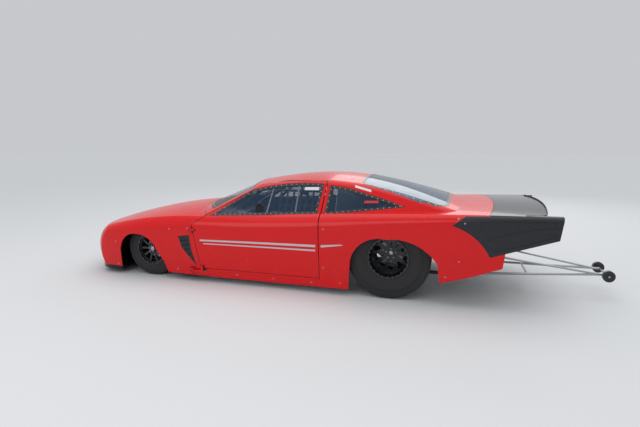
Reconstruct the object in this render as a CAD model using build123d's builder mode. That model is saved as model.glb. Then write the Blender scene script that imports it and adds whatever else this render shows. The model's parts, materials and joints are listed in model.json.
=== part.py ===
"""Doorslammer drag racing car, in millimetres.

+X points forward, +Y to the car's left and +Z up. The origin is on the ground under the middle of
the whole car, nose to wheelie bar wheels. Lengths along the car are given as stations: the distance
ahead of the front axle, so most of them are negative.
"""

import os
from collections import namedtuple
from math import radians, sin, sqrt

from build123d import *

os.makedirs("parts", exist_ok=True)

# Driving dimensions
wheelbase = 2921
front_overhang = 1000
wheelie_reach = 2279
front_axle_x = (wheelbase + wheelie_reach - front_overhang) / 2
rear_axle_x = front_axle_x - wheelbase
wall = 16
seam = 5
seat_gap = 0.3

# Reaches past the whole car, for the blocks that cut it
half_span = 1100
top_z = 1400
beyond = 5000


def at(station, height=0.0):
    """A point of a side view, as X and Z."""
    return (front_axle_x + station, height)


def tube_between(start, end, radius):
    """Makes a round bar from one point to the other, points as station, Y and Z."""
    a = Vector(front_axle_x + start[0], start[1], start[2])
    b = Vector(front_axle_x + end[0], end[1], end[2])
    with BuildPart(mode=Mode.PRIVATE) as bar:
        with BuildSketch(Plane(origin=a, z_dir=b - a)):
            Circle(radius)
        extrude(amount=(b - a).length)
    return bar.part


def tube_frame(paths):
    """Joins bars along each path and its mirror image, with a ball at every bend.

    Each path is the tube's radius and then its points.
    """
    with BuildPart(mode=Mode.PRIVATE) as frame:
        for radius, *path in paths:
            for start, end in zip(path, path[1:]):
                add(tube_between(start, end, radius))
            for bend in path[1:-1]:
                with Locations((front_axle_x + bend[0], bend[1], bend[2])):
                    Sphere(radius)
        mirror(about=Plane.XZ)
    return frame.part


def write(name, piece):
    """Labels a finished piece and writes it as the node of that name."""
    piece.label = name
    export_step(piece, "parts/" + name + ".step")


def write_pair(name, piece):
    """Writes a left hand piece and its mirror image on the right."""
    write(name + "_left", piece)
    write(name + "_right", piece.mirror(Plane.XZ))


# Lower body sections, nose to tail: half widths and heights of the rocker edge, the belt crease,
# the shoulder where the side turns into the top, and the crown on the centre line.
Section = namedtuple("Section", "station crease_w rocker_w rocker_z crease_z shoulder_w shoulder_z crown_z")
front_sections = [
    Section(1040, 820, 800, 95, 440, 700, 480, 540),
    Section(560, 912, 888, 92, 545, 818, 620, 690),
    Section(0, 925, 902, 86, 605, 845, 725, 812),
    Section(-640, 925, 902, 76, 668, 852, 774, 874),
]
rear_sections = [
    front_sections[-1],
    Section(-2200, 928, 903, 75, 750, 845, 868, 930),
    Section(-3200, 945, 925, 90, 822, 885, 920, 965),
    Section(-4560, 945, 925, 120, 880, 915, 952, 982),
]
side_bulge = 10
shoulder_bulge = 14

# Nose outlines: how far ahead of the front axle the nose reaches at each height
NoseLevel = namedtuple("NoseLevel", "height reach")
nose_levels = [
    NoseLevel(40, 905),
    NoseLevel(310, front_overhang),
    NoseLevel(520, 940),
    NoseLevel(680, 650),
    NoseLevel(900, 100),
]
nose_radius = 1616
nose_corner_radius = 300
nose_half_width = 935
nose_run = 1500

# Roof line over the cabin, windscreen to deck, on the centre line
RoofPoint = namedtuple("RoofPoint", "station crown_z")
roof_line = [
    RoofPoint(-300, 1000),
    RoofPoint(-1300, 1178),
    RoofPoint(-2200, 1264),
    RoofPoint(-3050, 1142),
    RoofPoint(-3640, 980),
]
# The side glass leans in by half its height; the roof rounds off over the rail
glass_lean = 0.5
glass_foot_w = 900
glass_foot_z = 700
rail_drop = 95
rail_rise = 47
rail_in = 63.5

# The windscreen is part of a leaning cylinder
screen_slope = 0.43
screen_foot = -550
screen_foot_z = 870
screen_depth = 416
screen_half_width = 850
screen_flank_l = 200
screen_flank_w = 1000
screen_run = 1500
screen_angle = 23.3


def mirrored(point):
    return (-point[0], point[1])


def body_hull(inset):
    """The lower body as a solid, with every face moved inwards by the inset."""
    with BuildPart() as side_loft:
        for run in (front_sections, rear_sections):
            with BuildPart(mode=Mode.PRIVATE) as run_loft:
                for s in run:
                    rocker = (s.rocker_w - inset, s.rocker_z - 2 * inset)
                    crease = (s.crease_w - inset, s.crease_z)
                    shoulder = (s.shoulder_w - inset, s.shoulder_z - inset)
                    crown = (0, s.crown_z - inset)
                    with BuildSketch(Plane.YZ.offset(front_axle_x + s.station)):
                        with BuildLine():
                            Line(mirrored(rocker), rocker)
                            SagittaArc(rocker, crease, -side_bulge)
                            SagittaArc(crease, shoulder, -shoulder_bulge)
                            ThreePointArc(shoulder, crown, mirrored(shoulder))
                            SagittaArc(mirrored(shoulder), mirrored(crease), -shoulder_bulge)
                            SagittaArc(mirrored(crease), mirrored(rocker), -side_bulge)
                        make_face()
                loft()
            add(run_loft.part)
    with BuildPart() as nose_loft:
        for level in nose_levels:
            radius = nose_radius - inset
            side_y = nose_half_width - inset
            tip_x = front_axle_x + level.reach - inset
            corner_x = tip_x - radius + sqrt(radius**2 - side_y**2)
            back_x = front_axle_x - nose_run
            drop = inset if level.height > 300 else 0
            with BuildSketch(Plane.XY.offset(level.height - drop)) as plan:
                with BuildLine():
                    ThreePointArc((corner_x, -side_y), (tip_x, 0), (corner_x, side_y))
                    Polyline((corner_x, side_y), (back_x, side_y), (back_x, -side_y), (corner_x, -side_y))
                make_face()
                fillet(plan.vertices().sort_by(Axis.X)[-2:], nose_corner_radius - inset)
        loft()
        with BuildSketch(Plane.XY):
            with Locations((front_axle_x + nose_levels[-1].reach - beyond / 2, 0)):
                Rectangle(beyond, 2 * half_span)
        extrude(amount=top_z)
    return side_loft.part & nose_loft.part


def cabin_hull(inset):
    """The cabin above the belt as a solid, with every face moved inwards by the inset."""
    side_shift = inset * sqrt(1 + glass_lean**2)
    with BuildPart() as cabin:
        for point in roof_line:
            crown_z = point.crown_z - inset
            rail_z = crown_z - rail_drop
            foot = (glass_foot_w - side_shift, glass_foot_z)
            rail = (foot[0] - glass_lean * (rail_z - glass_foot_z), rail_z)
            roof_edge = (rail[0] - rail_in, rail_z + rail_rise)
            with BuildSketch(Plane.YZ.offset(front_axle_x + point.station)):
                with BuildLine():
                    Line(mirrored(foot), foot)
                    Line(foot, rail)
                    TangentArc(rail, roof_edge, tangent=(-glass_lean, 1))
                    ThreePointArc(roof_edge, (0, crown_z), mirrored(roof_edge))
                    TangentArc(mirrored(rail), mirrored(roof_edge), tangent=(glass_lean, 1))
                    Line(mirrored(rail), mirrored(foot))
                make_face()
        loft()
        screen_shift = inset / sin(radians(screen_angle))
        centre_x = front_axle_x + screen_foot + (screen_foot_z - glass_foot_z) / screen_slope - screen_shift
        side_x = centre_x - screen_depth
        with BuildSketch(Plane.XY.offset(glass_foot_z)):
            with BuildLine():
                ThreePointArc((side_x, -screen_half_width), (centre_x, 0), (side_x, screen_half_width))
                Polyline(
                    (side_x, screen_half_width),
                    (side_x - screen_flank_l, screen_flank_w),
                    (side_x - beyond, screen_flank_w),
                    (side_x - beyond, -screen_flank_w),
                    (side_x - screen_flank_l, -screen_flank_w),
                    (side_x, -screen_half_width),
                )
            make_face()
        extrude(amount=screen_run, dir=Vector(-1, 0, screen_slope).normalized(), mode=Mode.INTERSECT)
    return cabin.part


def side_prism(points, low_y, high_y):
    """A block through the car's side, from an outline of station and height points."""
    with BuildPart() as block:
        with BuildSketch(Plane.XZ.offset(-high_y)):
            with BuildLine():
                Polyline([at(*point) for point in points], close=True)
            make_face()
        extrude(amount=high_y - low_y)
    return block.part


# The shell before it is split into panels
outer_body = body_hull(0)
inner_body = body_hull(wall)
outer_cabin = cabin_hull(0)
inner_cabin = cabin_hull(wall)
shell = (outer_body + outer_cabin) - (inner_body + inner_cabin)

# Seams and openings, as side view points of station and height
door_front = -640
door_foot_z = 170
seam_lean = 0.19
door_rear = -2195
door_rear_slack = 5
belt_seam = (door_front, 690)
pillar_foot = (-800, 800)
pillar_top = (-1350, 1098)
rail_mid = (-1560, 1172)
rail_end = (-1800, 1203)
door_top_rear = (-2215, 1207)
door_belt_rear = (-2183, 866)
cowl_centre = -530
cowl_side = (-800, 860)
beyond_nose = 1200
behind_cowl = -1500


def door_front_at(height):
    """The station of the door's front seam, which leans back towards the sill."""
    return door_front - seam_lean * (belt_seam[1] - height)


with BuildPart() as clip_region:
    with BuildSketch(Plane.XZ):
        with BuildLine():
            Polyline(
                at(beyond_nose, 0),
                at(door_front_at(0), 0),
                at(*belt_seam),
                at(*pillar_foot),
                at(pillar_foot[0], top_z),
                at(beyond_nose, top_z),
                close=True,
            )
        make_face()
    extrude(amount=half_span, both=True)
    with BuildSketch(Plane.XY.offset(belt_seam[1])):
        with BuildLine():
            ThreePointArc(at(cowl_side[0], -cowl_side[1]), at(cowl_centre, 0), at(*cowl_side))
            Polyline(
                at(*cowl_side),
                at(cowl_side[0], half_span),
                at(behind_cowl, half_span),
                at(behind_cowl, -half_span),
                at(cowl_side[0], -half_span),
                at(cowl_side[0], -cowl_side[1]),
            )
        make_face()
    extrude(amount=top_z, mode=Mode.SUBTRACT)


def door_outline(gap):
    """The left door's region, smaller than its opening by the gap."""
    with BuildPart() as region:
        with BuildSketch(Plane.XZ.offset(-half_span)):
            with BuildLine():
                slack = door_rear_slack if gap else 0
                Polyline(
                    at(*rail_end),
                    at(door_top_rear[0] + slack, door_top_rear[1]),
                    at(door_belt_rear[0] + slack, door_belt_rear[1]),
                    at(door_rear, door_foot_z),
                    at(door_front_at(door_foot_z), door_foot_z),
                    at(*belt_seam),
                    at(*pillar_foot),
                    at(*pillar_top),
                )
                ThreePointArc(at(*pillar_top), at(*rail_mid), at(*rail_end))
            make_face()
            if gap:
                offset(amount=-gap, kind=Kind.INTERSECTION)
        extrude(amount=half_span - 400)
    return region.part


door_opening = door_outline(0)
door_region = door_outline(seam)

SideWindow = namedtuple("SideWindow", "corners crown corner_r")
door_window_edge = SideWindow([(-2162, 1166), (-2125, 872), (-885, 800), (-1342, 1076)], (-1740, 1157), 22)
quarter_window_edge = SideWindow([(-3040, 972), (-2230, 872), (-2262, 1152)], (-2640, 1080), 18)


def side_window(edge):
    """The left window's region, with an arc under the roof from its last corner to its first."""
    with BuildPart() as region:
        with BuildSketch(Plane.XZ.offset(-half_span)) as outline:
            with BuildLine():
                Polyline([at(*corner) for corner in edge.corners])
                ThreePointArc(at(*edge.corners[-1]), at(*edge.crown), at(*edge.corners[0]))
            make_face()
            fillet(outline.vertices(), edge.corner_r)
        extrude(amount=half_span - 400)
    return region.part


door_window_region = side_window(door_window_edge)
quarter_window_region = side_window(quarter_window_edge)


def cross_arc(station, half_width, centre_station):
    """An arc across the car in plan, from its right end through the centre line to its left end."""
    return ThreePointArc(at(station, -half_width), at(centre_station, 0), at(station, half_width))


# Windscreen and rear window in plan: the ends and the middle of their lower and upper edges
CrossEdge = namedtuple("CrossEdge", "station half_width centre_station")
screen_low_edge = CrossEdge(-850, 770, -575)
screen_high_edge = CrossEdge(-1330, 640, -1235)
screen_corner_r = 40
rear_high_edge = CrossEdge(-2610, 630, -2560)
rear_low_edge = CrossEdge(-3495, 700, -3510)
rear_widest = (-3220, 742)
rear_corner_r = 90

with BuildPart() as windscreen_region:
    with BuildSketch(Plane.XY.offset(glass_foot_z)) as windscreen_sketch:
        with BuildLine():
            low_edge = cross_arc(*screen_low_edge)
            high_edge = cross_arc(*screen_high_edge)
            Line(low_edge @ 0, high_edge @ 0)
            Line(low_edge @ 1, high_edge @ 1)
        make_face()
        fillet(windscreen_sketch.vertices(), screen_corner_r)
    extrude(amount=top_z - glass_foot_z)

with BuildPart() as backlight_region:
    with BuildSketch(Plane.XY.offset(glass_foot_z)) as backlight_sketch:
        with BuildLine():
            high_edge = cross_arc(*rear_high_edge)
            low_edge = cross_arc(*rear_low_edge)
            Polyline(high_edge @ 0, at(rear_widest[0], -rear_widest[1]), low_edge @ 0)
            Polyline(high_edge @ 1, at(*rear_widest), low_edge @ 1)
        make_face()
        fillet(backlight_sketch.vertices(), rear_corner_r)
    extrude(amount=top_z - glass_foot_z)

# Wheel arches, as side view points round each opening from its front foot to its rear foot
Arch = namedtuple("Arch", "front_foot front_rise front_turn crown rear_turn rear_rise rear_bend rear_foot")
wheel_arches = [
    Arch((383, 0), (378, 300), (300, 478), (130, 530), (-35, 483), (-145, 350), (-240, 210), (-310, 0)),
    Arch(
        (-2505, 0), (-2530, 390), (-2640, 585), (-2900, 650), (-3240, 595), (-3420, 430), (-3445, 250),
        (-3470, 0),
    ),
]
with BuildPart() as arches:
    for arch in wheel_arches:
        with BuildSketch(Plane.XZ):
            with BuildLine():
                Line(at(*arch.front_foot), at(*arch.front_rise))
                ThreePointArc(at(*arch.front_rise), at(*arch.front_turn), at(*arch.crown))
                ThreePointArc(at(*arch.crown), at(*arch.rear_turn), at(*arch.rear_rise))
                Polyline(at(*arch.rear_rise), at(*arch.rear_bend), at(*arch.rear_foot), at(*arch.front_foot))
            make_face()
        extrude(amount=half_span, both=True)

# Everything below and behind the red quarter panels
tail_outline = [
    (-3400, -10), (-3445, 240), (-3700, 318), (-4020, 440), (-4034, 570), (-4034, 1200), (-4700, 1200),
    (-4700, -10),
]
tail_cut = side_prism(tail_outline, -half_span, half_span)

# Spill plates: the black sides of the tail, with two moulded panels and a blade left standing between them
plate_inner_w = 872
plate_front_top = (-3540, 830)
plate_front_bend = (-3755, 722)
plate_front_foot = (-3900, 540)
plate_rear_edge = [plate_front_foot, (-4490, 740), (-4520, 962), (-3665, 926), plate_front_top]
plate_panels = [
    [
        (-3800, 835), (-3872, 893), (-4440, 912), (-4462, 850), (-4360, 842), (-4180, 806), (-3985, 751),
        (-3880, 705),
    ],
    [(-3905, 630), (-4000, 668), (-4197, 732), (-4360, 782), (-4448, 806), (-4462, 768), (-3938, 592)],
]
panel_depth = 6
with BuildPart() as plate_region:
    with BuildSketch(Plane.XZ):
        with BuildLine():
            Polyline([at(*point) for point in plate_rear_edge])
            ThreePointArc(at(*plate_front_top), at(*plate_front_bend), at(*plate_front_foot))
        make_face()
    extrude(amount=half_span, both=True)
    with Locations((front_axle_x - wheelbase, 0)):
        Box(2 * wheelbase, 2 * plate_inner_w, 2 * top_z, mode=Mode.SUBTRACT)

# The deck lid between them ends in a bowed edge with rounded corners, and a low lip stands along it
deck_front_edge = CrossEdge(-3840, half_span, -3970)
deck_rear_edge = CrossEdge(-4385, plate_inner_w, -4465)
deck_flank_rear = -4200
deck_corner_r = 110
deck_foot_z = 850
lip_h = 14
lip_t = 7
lip_root = 8
lip_half_width = 752
lip_end_w = 912
lip_end_z = 950
lip_crown_h = 31


def deck_plan(inset):
    """The deck lid's outline in plan, with its rear edge moved forward by the inset."""
    with BuildSketch(Plane.XY.offset(deck_foot_z), mode=Mode.PRIVATE) as plan:
        with BuildLine():
            front_edge = cross_arc(*deck_front_edge)
            rear = deck_rear_edge
            rear_edge = cross_arc(rear.station + inset, rear.half_width, rear.centre_station + inset)
            for end, side in ((0, -1), (1, 1)):
                Polyline(
                    front_edge @ end,
                    at(deck_flank_rear, side * half_span),
                    at(deck_flank_rear, side * rear.half_width),
                    rear_edge @ end,
                )
        make_face()
        fillet(plan.vertices().sort_by(Axis.X)[:2], deck_corner_r)
    return plan.sketch


deck_region = extrude(deck_plan(0), amount=300) - plate_region.part

with BuildPart() as deck_lip:
    with BuildSketch(Plane.YZ.offset(front_axle_x + deck_rear_edge.centre_station)):
        with BuildLine():
            low_arc, high_arc = [
                ThreePointArc((-lip_end_w, end_z), (0, end_z + lip_crown_h), (lip_end_w, end_z))
                for end_z in (lip_end_z - lip_root, lip_end_z + lip_h)
            ]
            Line(low_arc @ 0, high_arc @ 0)
            Line(low_arc @ 1, high_arc @ 1)
        make_face()
    extrude(amount=deck_corner_r)
    with BuildSketch(Plane.XY.offset(deck_foot_z)):
        add(deck_plan(0) - deck_plan(lip_t))
        Rectangle(8 * half_span, 2 * lip_half_width, mode=Mode.INTERSECT)
    extrude(amount=300, mode=Mode.INTERSECT)

splitter_top = 104
splitter_foot = 58
splitter_inset = 45
splitter_reach = 968
splitter_rear = 400
with BuildPart() as splitter:
    with BuildSketch(Plane.XY.offset(splitter_foot)) as splitter_sketch:
        with BuildLine():
            side_y = nose_half_width - splitter_inset
            tip_x = front_axle_x + splitter_reach
            corner_x = tip_x - nose_radius + sqrt(nose_radius**2 - side_y**2)
            ThreePointArc((corner_x, -side_y), (tip_x, 0), (corner_x, side_y))
            Polyline(
                (corner_x, side_y),
                at(splitter_rear, side_y),
                at(splitter_rear, -side_y),
                (corner_x, -side_y),
            )
        make_face()
        fillet(splitter_sketch.vertices().sort_by(Axis.X)[-2:], nose_corner_radius - splitter_inset + 15)
    extrude(amount=splitter_top - splitter_foot)
arch_front = wheel_arches[0].front_foot[0]
clearance_outline = [
    (arch_front, 0), (arch_front, splitter_top), (beyond_nose, splitter_top), (beyond_nose, 0),
]
splitter_clearance = side_prism(clearance_outline, -half_span, half_span)

doorways = door_opening + door_opening.mirror(Plane.XZ)
quarter_windows = quarter_window_region + quarter_window_region.mirror(Plane.XZ)

# Door hinges: a pin through two knuckles on the clip and one on the door, outside the skin. The leaf
# of a door knuckle runs back over the leaning seam and turns up to the door where the seam is far.
hinge_station = door_front - seam / 2
hinge_y = 937
hinge_pin_r = 4
hinge_knuckle_r = 8
hinge_knuckle_h = 20
hinge_leaf_t = 10
hinge_root = 22
Hinge = namedtuple("Hinge", "height leaf root_z root_h skin_y")
hinges = [
    Hinge(140, 136, 168, 76, 908),
    Hinge(625, 44, 625, 20, 915),
]


def hinge_knuckle(height, direction, leaf, root_z, root_h, skin_y):
    """A knuckle on the hinge line with a leaf that runs to a root in the skin."""
    with BuildPart(mode=Mode.PRIVATE) as knuckle:
        centre_x = front_axle_x + hinge_station
        with Locations((centre_x, hinge_y, height)):
            Cylinder(hinge_knuckle_r, hinge_knuckle_h)
        with Locations((centre_x + direction * leaf / 2, hinge_y, height)):
            Box(leaf, hinge_leaf_t, hinge_knuckle_h)
        root_x = centre_x + direction * (leaf - hinge_root / 2)
        with Locations((root_x, hinge_y, root_z)):
            Box(hinge_root, hinge_leaf_t, root_h)
        root_top = root_z + root_h / 2
        with Locations((root_x, (skin_y + hinge_y) / 2, root_top - hinge_knuckle_h / 2)):
            Box(hinge_root, hinge_y - skin_y, hinge_knuckle_h)
    return knuckle.part


pitch = hinge_knuckle_h + seat_gap
with BuildPart() as clip_hinges:
    for hinge in hinges:
        for side in (-1, 1):
            height = hinge.height + side * pitch
            add(hinge_knuckle(height, 1, 40, height, hinge_knuckle_h, hinge.skin_y))
        with Locations((front_axle_x + hinge_station, hinge_y, hinge.height)):
            Cylinder(hinge_pin_r, 3 * hinge_knuckle_h)
    mirror(about=Plane.XZ)
with BuildPart() as door_hinges:
    for hinge in hinges:
        add(hinge_knuckle(hinge.height, -1, hinge.leaf, hinge.root_z, hinge.root_h, hinge.skin_y))
        with Locations((front_axle_x + hinge_station, hinge_y, hinge.height)):
            Cylinder(hinge_pin_r + 0.06, 3 * hinge_knuckle_h, mode=Mode.SUBTRACT)

# Fender vents: a raised blade of louvres behind each front wheel, over an opening in the skin
vent_outline = [(-438, 548), (-612, 572), (-640, 380), (-712, 150), (-590, 285), (-490, 395)]
vent_reveal = 10
louvre_heights = (500, 440, 380, 322, 268)
louvre_h = 9
louvre_slope = 8
louvre_margin = 18
vent_middle = -580


def vent_prism(reveal):
    """The left vent's region, smaller than its outline by the reveal."""
    with BuildPart() as block:
        with BuildSketch(Plane.XZ.offset(-half_span)):
            with BuildLine():
                Polyline([at(*point) for point in vent_outline], close=True)
            make_face()
            if reveal:
                offset(amount=-reveal, kind=Kind.INTERSECTION)
        extrude(amount=half_span - 700)
    return block.part


vent_blade = shell & vent_prism(vent_reveal)
with BuildPart() as louvre_slots:
    for height in louvre_heights:
        with Locations((front_axle_x + vent_middle, half_span - 200, height)):
            Box(400, 400, louvre_h, rotation=(0, louvre_slope, 0))
vent_slots = louvre_slots.part & vent_prism(vent_reveal + louvre_margin)
fender_vent = vent_blade - vent_slots
vent_holes = vent_prism(vent_reveal) + vent_prism(vent_reveal).mirror(Plane.XZ)

front_clip = (shell & clip_region.part) - arches.part - splitter_clearance - vent_holes + clip_hinges.part
panels = shell - clip_region.part - doorways - arches.part - quarter_windows
panels = panels - windscreen_region.part - backlight_region.part
body_shell = panels - tail_cut - plate_region.part - deck_region
door = (shell & door_region) - door_window_region + door_hinges.part
deck_spoiler = (shell & deck_region) + deck_lip.part

# The panels of a spill plate are pressed in from its skin by the panel depth
plain_plate = (shell & plate_region.part).solids().sort_by(Axis.Y)[-1]
pressing = plain_plate.moved(Location((0, -panel_depth, 0)))
spill_plate = plain_plate
for panel in plate_panels:
    spill_plate = spill_plate - (side_prism(panel, plate_inner_w - wall, half_span) - pressing)

pane_t = 5
pane_layer = outer_cabin - cabin_hull(pane_t)
windscreen = pane_layer & windscreen_region.part
backlight = pane_layer & backlight_region.part
door_window = pane_layer & door_window_region
quarter_window = pane_layer & quarter_window_region

write("front_clip", front_clip)
write("fender_vents", fender_vent + fender_vent.mirror(Plane.XZ))
write("body_shell", body_shell)
write_pair("door", door)
write("windscreen", windscreen)
write("rear_window", backlight)
write_pair("door_window", door_window)
write_pair("quarter_window", quarter_window)
write("front_splitter", splitter.part)
write("deck_spoiler", deck_spoiler)
write_pair("spill_plate", spill_plate)


# Wheels and tyres, each turned about its own axle line
WheelSize = namedtuple("WheelSize", "axle_x tyre_r tyre_w rim_r rim_w side_y hub_r hub_w spoke_w spokes lugs")
front_size = WheelSize(front_axle_x, 330, 112, 190, 100, 770, 52, 76, 26, 10, 5)
rear_size = WheelSize(rear_axle_x, 438, 432, 204, 420, 664, 78, 60, 40, 10, 5)
rim_lip_h = 14


def wheel_plane(size):
    """The plane of a wheel's cross-section: Y across the car, then Z up from the axle."""
    return Plane(origin=(size.axle_x, size.side_y, size.tyre_r), x_dir=(0, 1, 0), z_dir=(1, 0, 0))


def wheel_axis(size):
    return Axis((size.axle_x, size.side_y, size.tyre_r), (0, 1, 0))


def tyre(size, shoulder, skin):
    """A tyre: flat tread, chamfered shoulders, bulged sidewalls and an open inside."""
    half = size.tyre_w / 2
    bead = size.rim_w / 2 - 14
    bulge_r = size.rim_r + 0.45 * (size.tyre_r - size.rim_r)
    right_side = [
        (half - shoulder, size.tyre_r),
        (half - 3, size.tyre_r - shoulder),
        (half, bulge_r),
        (bead, size.rim_r + rim_lip_h + 2),
        (bead, size.rim_r),
        (bead - skin, size.rim_r),
        (half - shoulder, size.tyre_r - skin),
    ]
    left_side = [(-across, radius) for across, radius in reversed(right_side)]
    with BuildPart() as carcass:
        with BuildSketch(wheel_plane(size)):
            with BuildLine():
                Polyline(right_side + left_side, close=True)
            make_face()
        revolve(axis=wheel_axis(size))
    return carcass.part


def rim(size, disc_y, bore_r):
    """A wheel: rim barrel with flanges, drop centre, hub and a ring of spokes."""
    half = size.rim_w / 2
    r = size.rim_r
    with BuildPart() as wheel:
        with BuildSketch(wheel_plane(size)):
            with BuildLine():
                Polyline(
                    (-half, r + 14), (-half, r - 4), (-half + 16, r - 10), (-half + 0.3 * half, r - 24),
                    (half - 0.3 * half, r - 24), (half - 16, r - 10), (half, r - 4), (half, r + 14),
                    (half - 12, r + 14), (half - 14, r), (half - 32, r), (half - 0.35 * half - 6, r - 18),
                    (-half + 0.35 * half + 6, r - 18), (-half + 32, r), (-half + 14, r), (-half + 12, r + 14),
                    close=True,
                )
            make_face()
        revolve(axis=wheel_axis(size))
        face_origin = (size.axle_x, size.side_y + disc_y, size.tyre_r)
        face_plane = Plane(origin=face_origin, x_dir=(1, 0, 0), z_dir=(0, 1, 0))
        with BuildSketch(face_plane):
            Circle(size.hub_r)
        extrude(amount=-size.hub_w)
        with BuildSketch(face_plane.offset(-8)):
            with PolarLocations((size.hub_r + r - 18) / 2, size.spokes):
                Rectangle(r - 16 - size.hub_r + 8, size.spoke_w)
        extrude(amount=-14)
        with BuildSketch(face_plane):
            Circle(bore_r)
        extrude(amount=-size.hub_w, mode=Mode.SUBTRACT)
        with BuildSketch(face_plane.offset(-8)):
            with PolarLocations(size.hub_r * 0.68, size.lugs):
                Circle(7)
        extrude(amount=8, mode=Mode.SUBTRACT)
    return wheel.part


spindle_r = 18
bearing_gap = 0.06
front_tyre = tyre(front_size, 16, 12)
front_wheel = rim(front_size, 30, spindle_r + bearing_gap)
rear_tyre = tyre(rear_size, 26, 14)
axle_shaft_r = 24
rear_wheel = rim(rear_size, -40, axle_shaft_r)
write_pair("front_tyre", front_tyre)
write_pair("front_wheel", front_wheel)
write_pair("rear_tyre", rear_tyre)
write_pair("rear_wheel", rear_wheel)


# Brakes: a drilled disc on each wheel's hub, and a caliper behind the axle that straddles it
disc_t = 8
disc_gap = 5
drillings = 12
drilling_r = 6
Brake = namedtuple("Brake", "size disc_y disc_r hub_back_y bore_r caliper_station caliper_size bracket_h")
front_brake = Brake(front_size, 712, 122, 724, spindle_r + bearing_gap, -104, (52, 44, 84), 40)
rear_brake = Brake(rear_size, 500, 140, 564, axle_shaft_r - 4, -122, (52, 44, 84), 44)


def disc_plane(brake, start_y):
    return Plane(origin=(brake.size.axle_x, start_y, brake.size.tyre_r), z_dir=(0, 1, 0))


def brake_disc(brake):
    """A flat disc with a bell that reaches out to the wheel's hub."""
    bell_length = brake.hub_back_y - brake.disc_y
    with BuildPart() as disc:
        with BuildSketch(disc_plane(brake, brake.disc_y)):
            Circle(brake.disc_r)
        extrude(amount=disc_t)
        with BuildSketch(disc_plane(brake, brake.disc_y)):
            Circle(brake.size.hub_r - 4)
        extrude(amount=bell_length)
        with BuildSketch(disc_plane(brake, brake.disc_y)):
            Circle(brake.bore_r)
            with PolarLocations(brake.disc_r - 18, drillings):
                Circle(drilling_r)
        extrude(amount=bell_length, mode=Mode.SUBTRACT)
    return disc.part


def brake_caliper(brake, bracket_y, bracket_w):
    """A caliper with a slot for the disc, and the bracket that holds it to the middle of the axle."""
    with BuildPart() as caliper:
        caliper_x = brake.size.axle_x + brake.caliper_station
        with Locations((caliper_x, brake.disc_y + disc_t / 2, brake.size.tyre_r)):
            Box(*brake.caliper_size)
        with Locations(((caliper_x + brake.size.axle_x) / 2, bracket_y, brake.size.tyre_r)):
            Box(-brake.caliper_station, bracket_w, brake.bracket_h)
        with BuildSketch(disc_plane(brake, brake.disc_y - disc_gap)):
            Circle(brake.disc_r + 4)
        extrude(amount=disc_t + 2 * disc_gap, mode=Mode.SUBTRACT)
    return caliper.part


# Front strut and knuckle, left side; the steering axis stands upright through the strut
kingpin_y = 672
strut_foot_z = 205
strut_split_z = 520
strut_top_z = 690
strut_r = 20
steer_arm_station = 130
rack_z = 246
rack_r = 9
eye_r = 14
eye_h = 24
spindle_end = front_size.side_y + 26

with BuildPart() as knuckle:
    add(brake_caliper(front_brake, front_brake.disc_y - 14, 12))
    add(tube_between((0, kingpin_y, strut_foot_z), (0, kingpin_y, strut_split_z), strut_r))
    add(tube_between((0, kingpin_y, front_size.tyre_r), (0, spindle_end, front_size.tyre_r), spindle_r))
    add(tube_between((0, kingpin_y, front_size.tyre_r), (0, kingpin_y + 30, front_size.tyre_r), 34))
    arm_z = rack_z + eye_h + seat_gap
    add(tube_between((0, kingpin_y, arm_z), (steer_arm_station, kingpin_y, arm_z), 10))
    eye = (steer_arm_station, kingpin_y)
    add(tube_between((*eye, arm_z - eye_h / 2), (*eye, arm_z + eye_h / 2), eye_r))

with BuildPart() as steering_rack:
    add(tube_between((steer_arm_station, -kingpin_y, rack_z), (steer_arm_station, kingpin_y, rack_z), rack_r))
    for side in (-1, 1):
        end = (steer_arm_station, side * kingpin_y, rack_z)
        add(tube_between((end[0], end[1], rack_z - eye_h / 2), (end[0], end[1], rack_z + eye_h / 2), eye_r))

# Chassis tubes: radius, then points of station, Y and Z
rail_r = 20
brace_r = 16
cross_r = 14
cage_r = 19
front_rail_y = 350
front_rail_z = 140
rear_rail_y = 375
rear_rail_z = 190
rear_frame_end = -3780
rear_top_z = 620
hoop_station = -2250
rail_front = (720, front_rail_y, front_rail_z)
rail_kick = (-330, front_rail_y, front_rail_z)
sill_front = (-640, 800, 116)
sill_middle = (-1450, 800, 116)
sill_rear = (hoop_station, 800, 116)
rear_kick = (-2420, rear_rail_y, rear_rail_z)
frame_end = (rear_frame_end, rear_rail_y, rear_rail_z)
top_end = (rear_frame_end, rear_rail_y, rear_top_z)
top_front = (-2430, rear_rail_y, 740)
rear_cross = (-3250, rear_rail_y, 660)
strut_tower = (0, 560, 640)


def on_centre(point):
    """The point of the centre line beside a point of a tube."""
    return (point[0], 0, point[2])


frame_paths = [
    (rail_r, rail_front, rail_kick, sill_front, sill_rear, rear_kick, frame_end),
    (brace_r, rail_front, (720, front_rail_y, 400), strut_tower, (-640, 700, 640), sill_front),
    (brace_r, strut_tower, (0, front_rail_y, front_rail_z)),
    (brace_r, frame_end, top_end, rear_cross, top_front, (hoop_station, 560, 760), (hoop_station, 0, 760)),
    (brace_r, rear_kick, top_front),
    (brace_r, (rear_cross[0], rear_rail_y, rear_rail_z), rear_cross),
]
rail_middle = (40, front_rail_y, front_rail_z)
crossed_points = [
    rear_cross, sill_front, sill_middle, sill_rear, rail_kick, rail_middle, rail_front, frame_end, top_end,
]
frame_paths += [(cross_r, point, on_centre(point)) for point in crossed_points]

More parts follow.
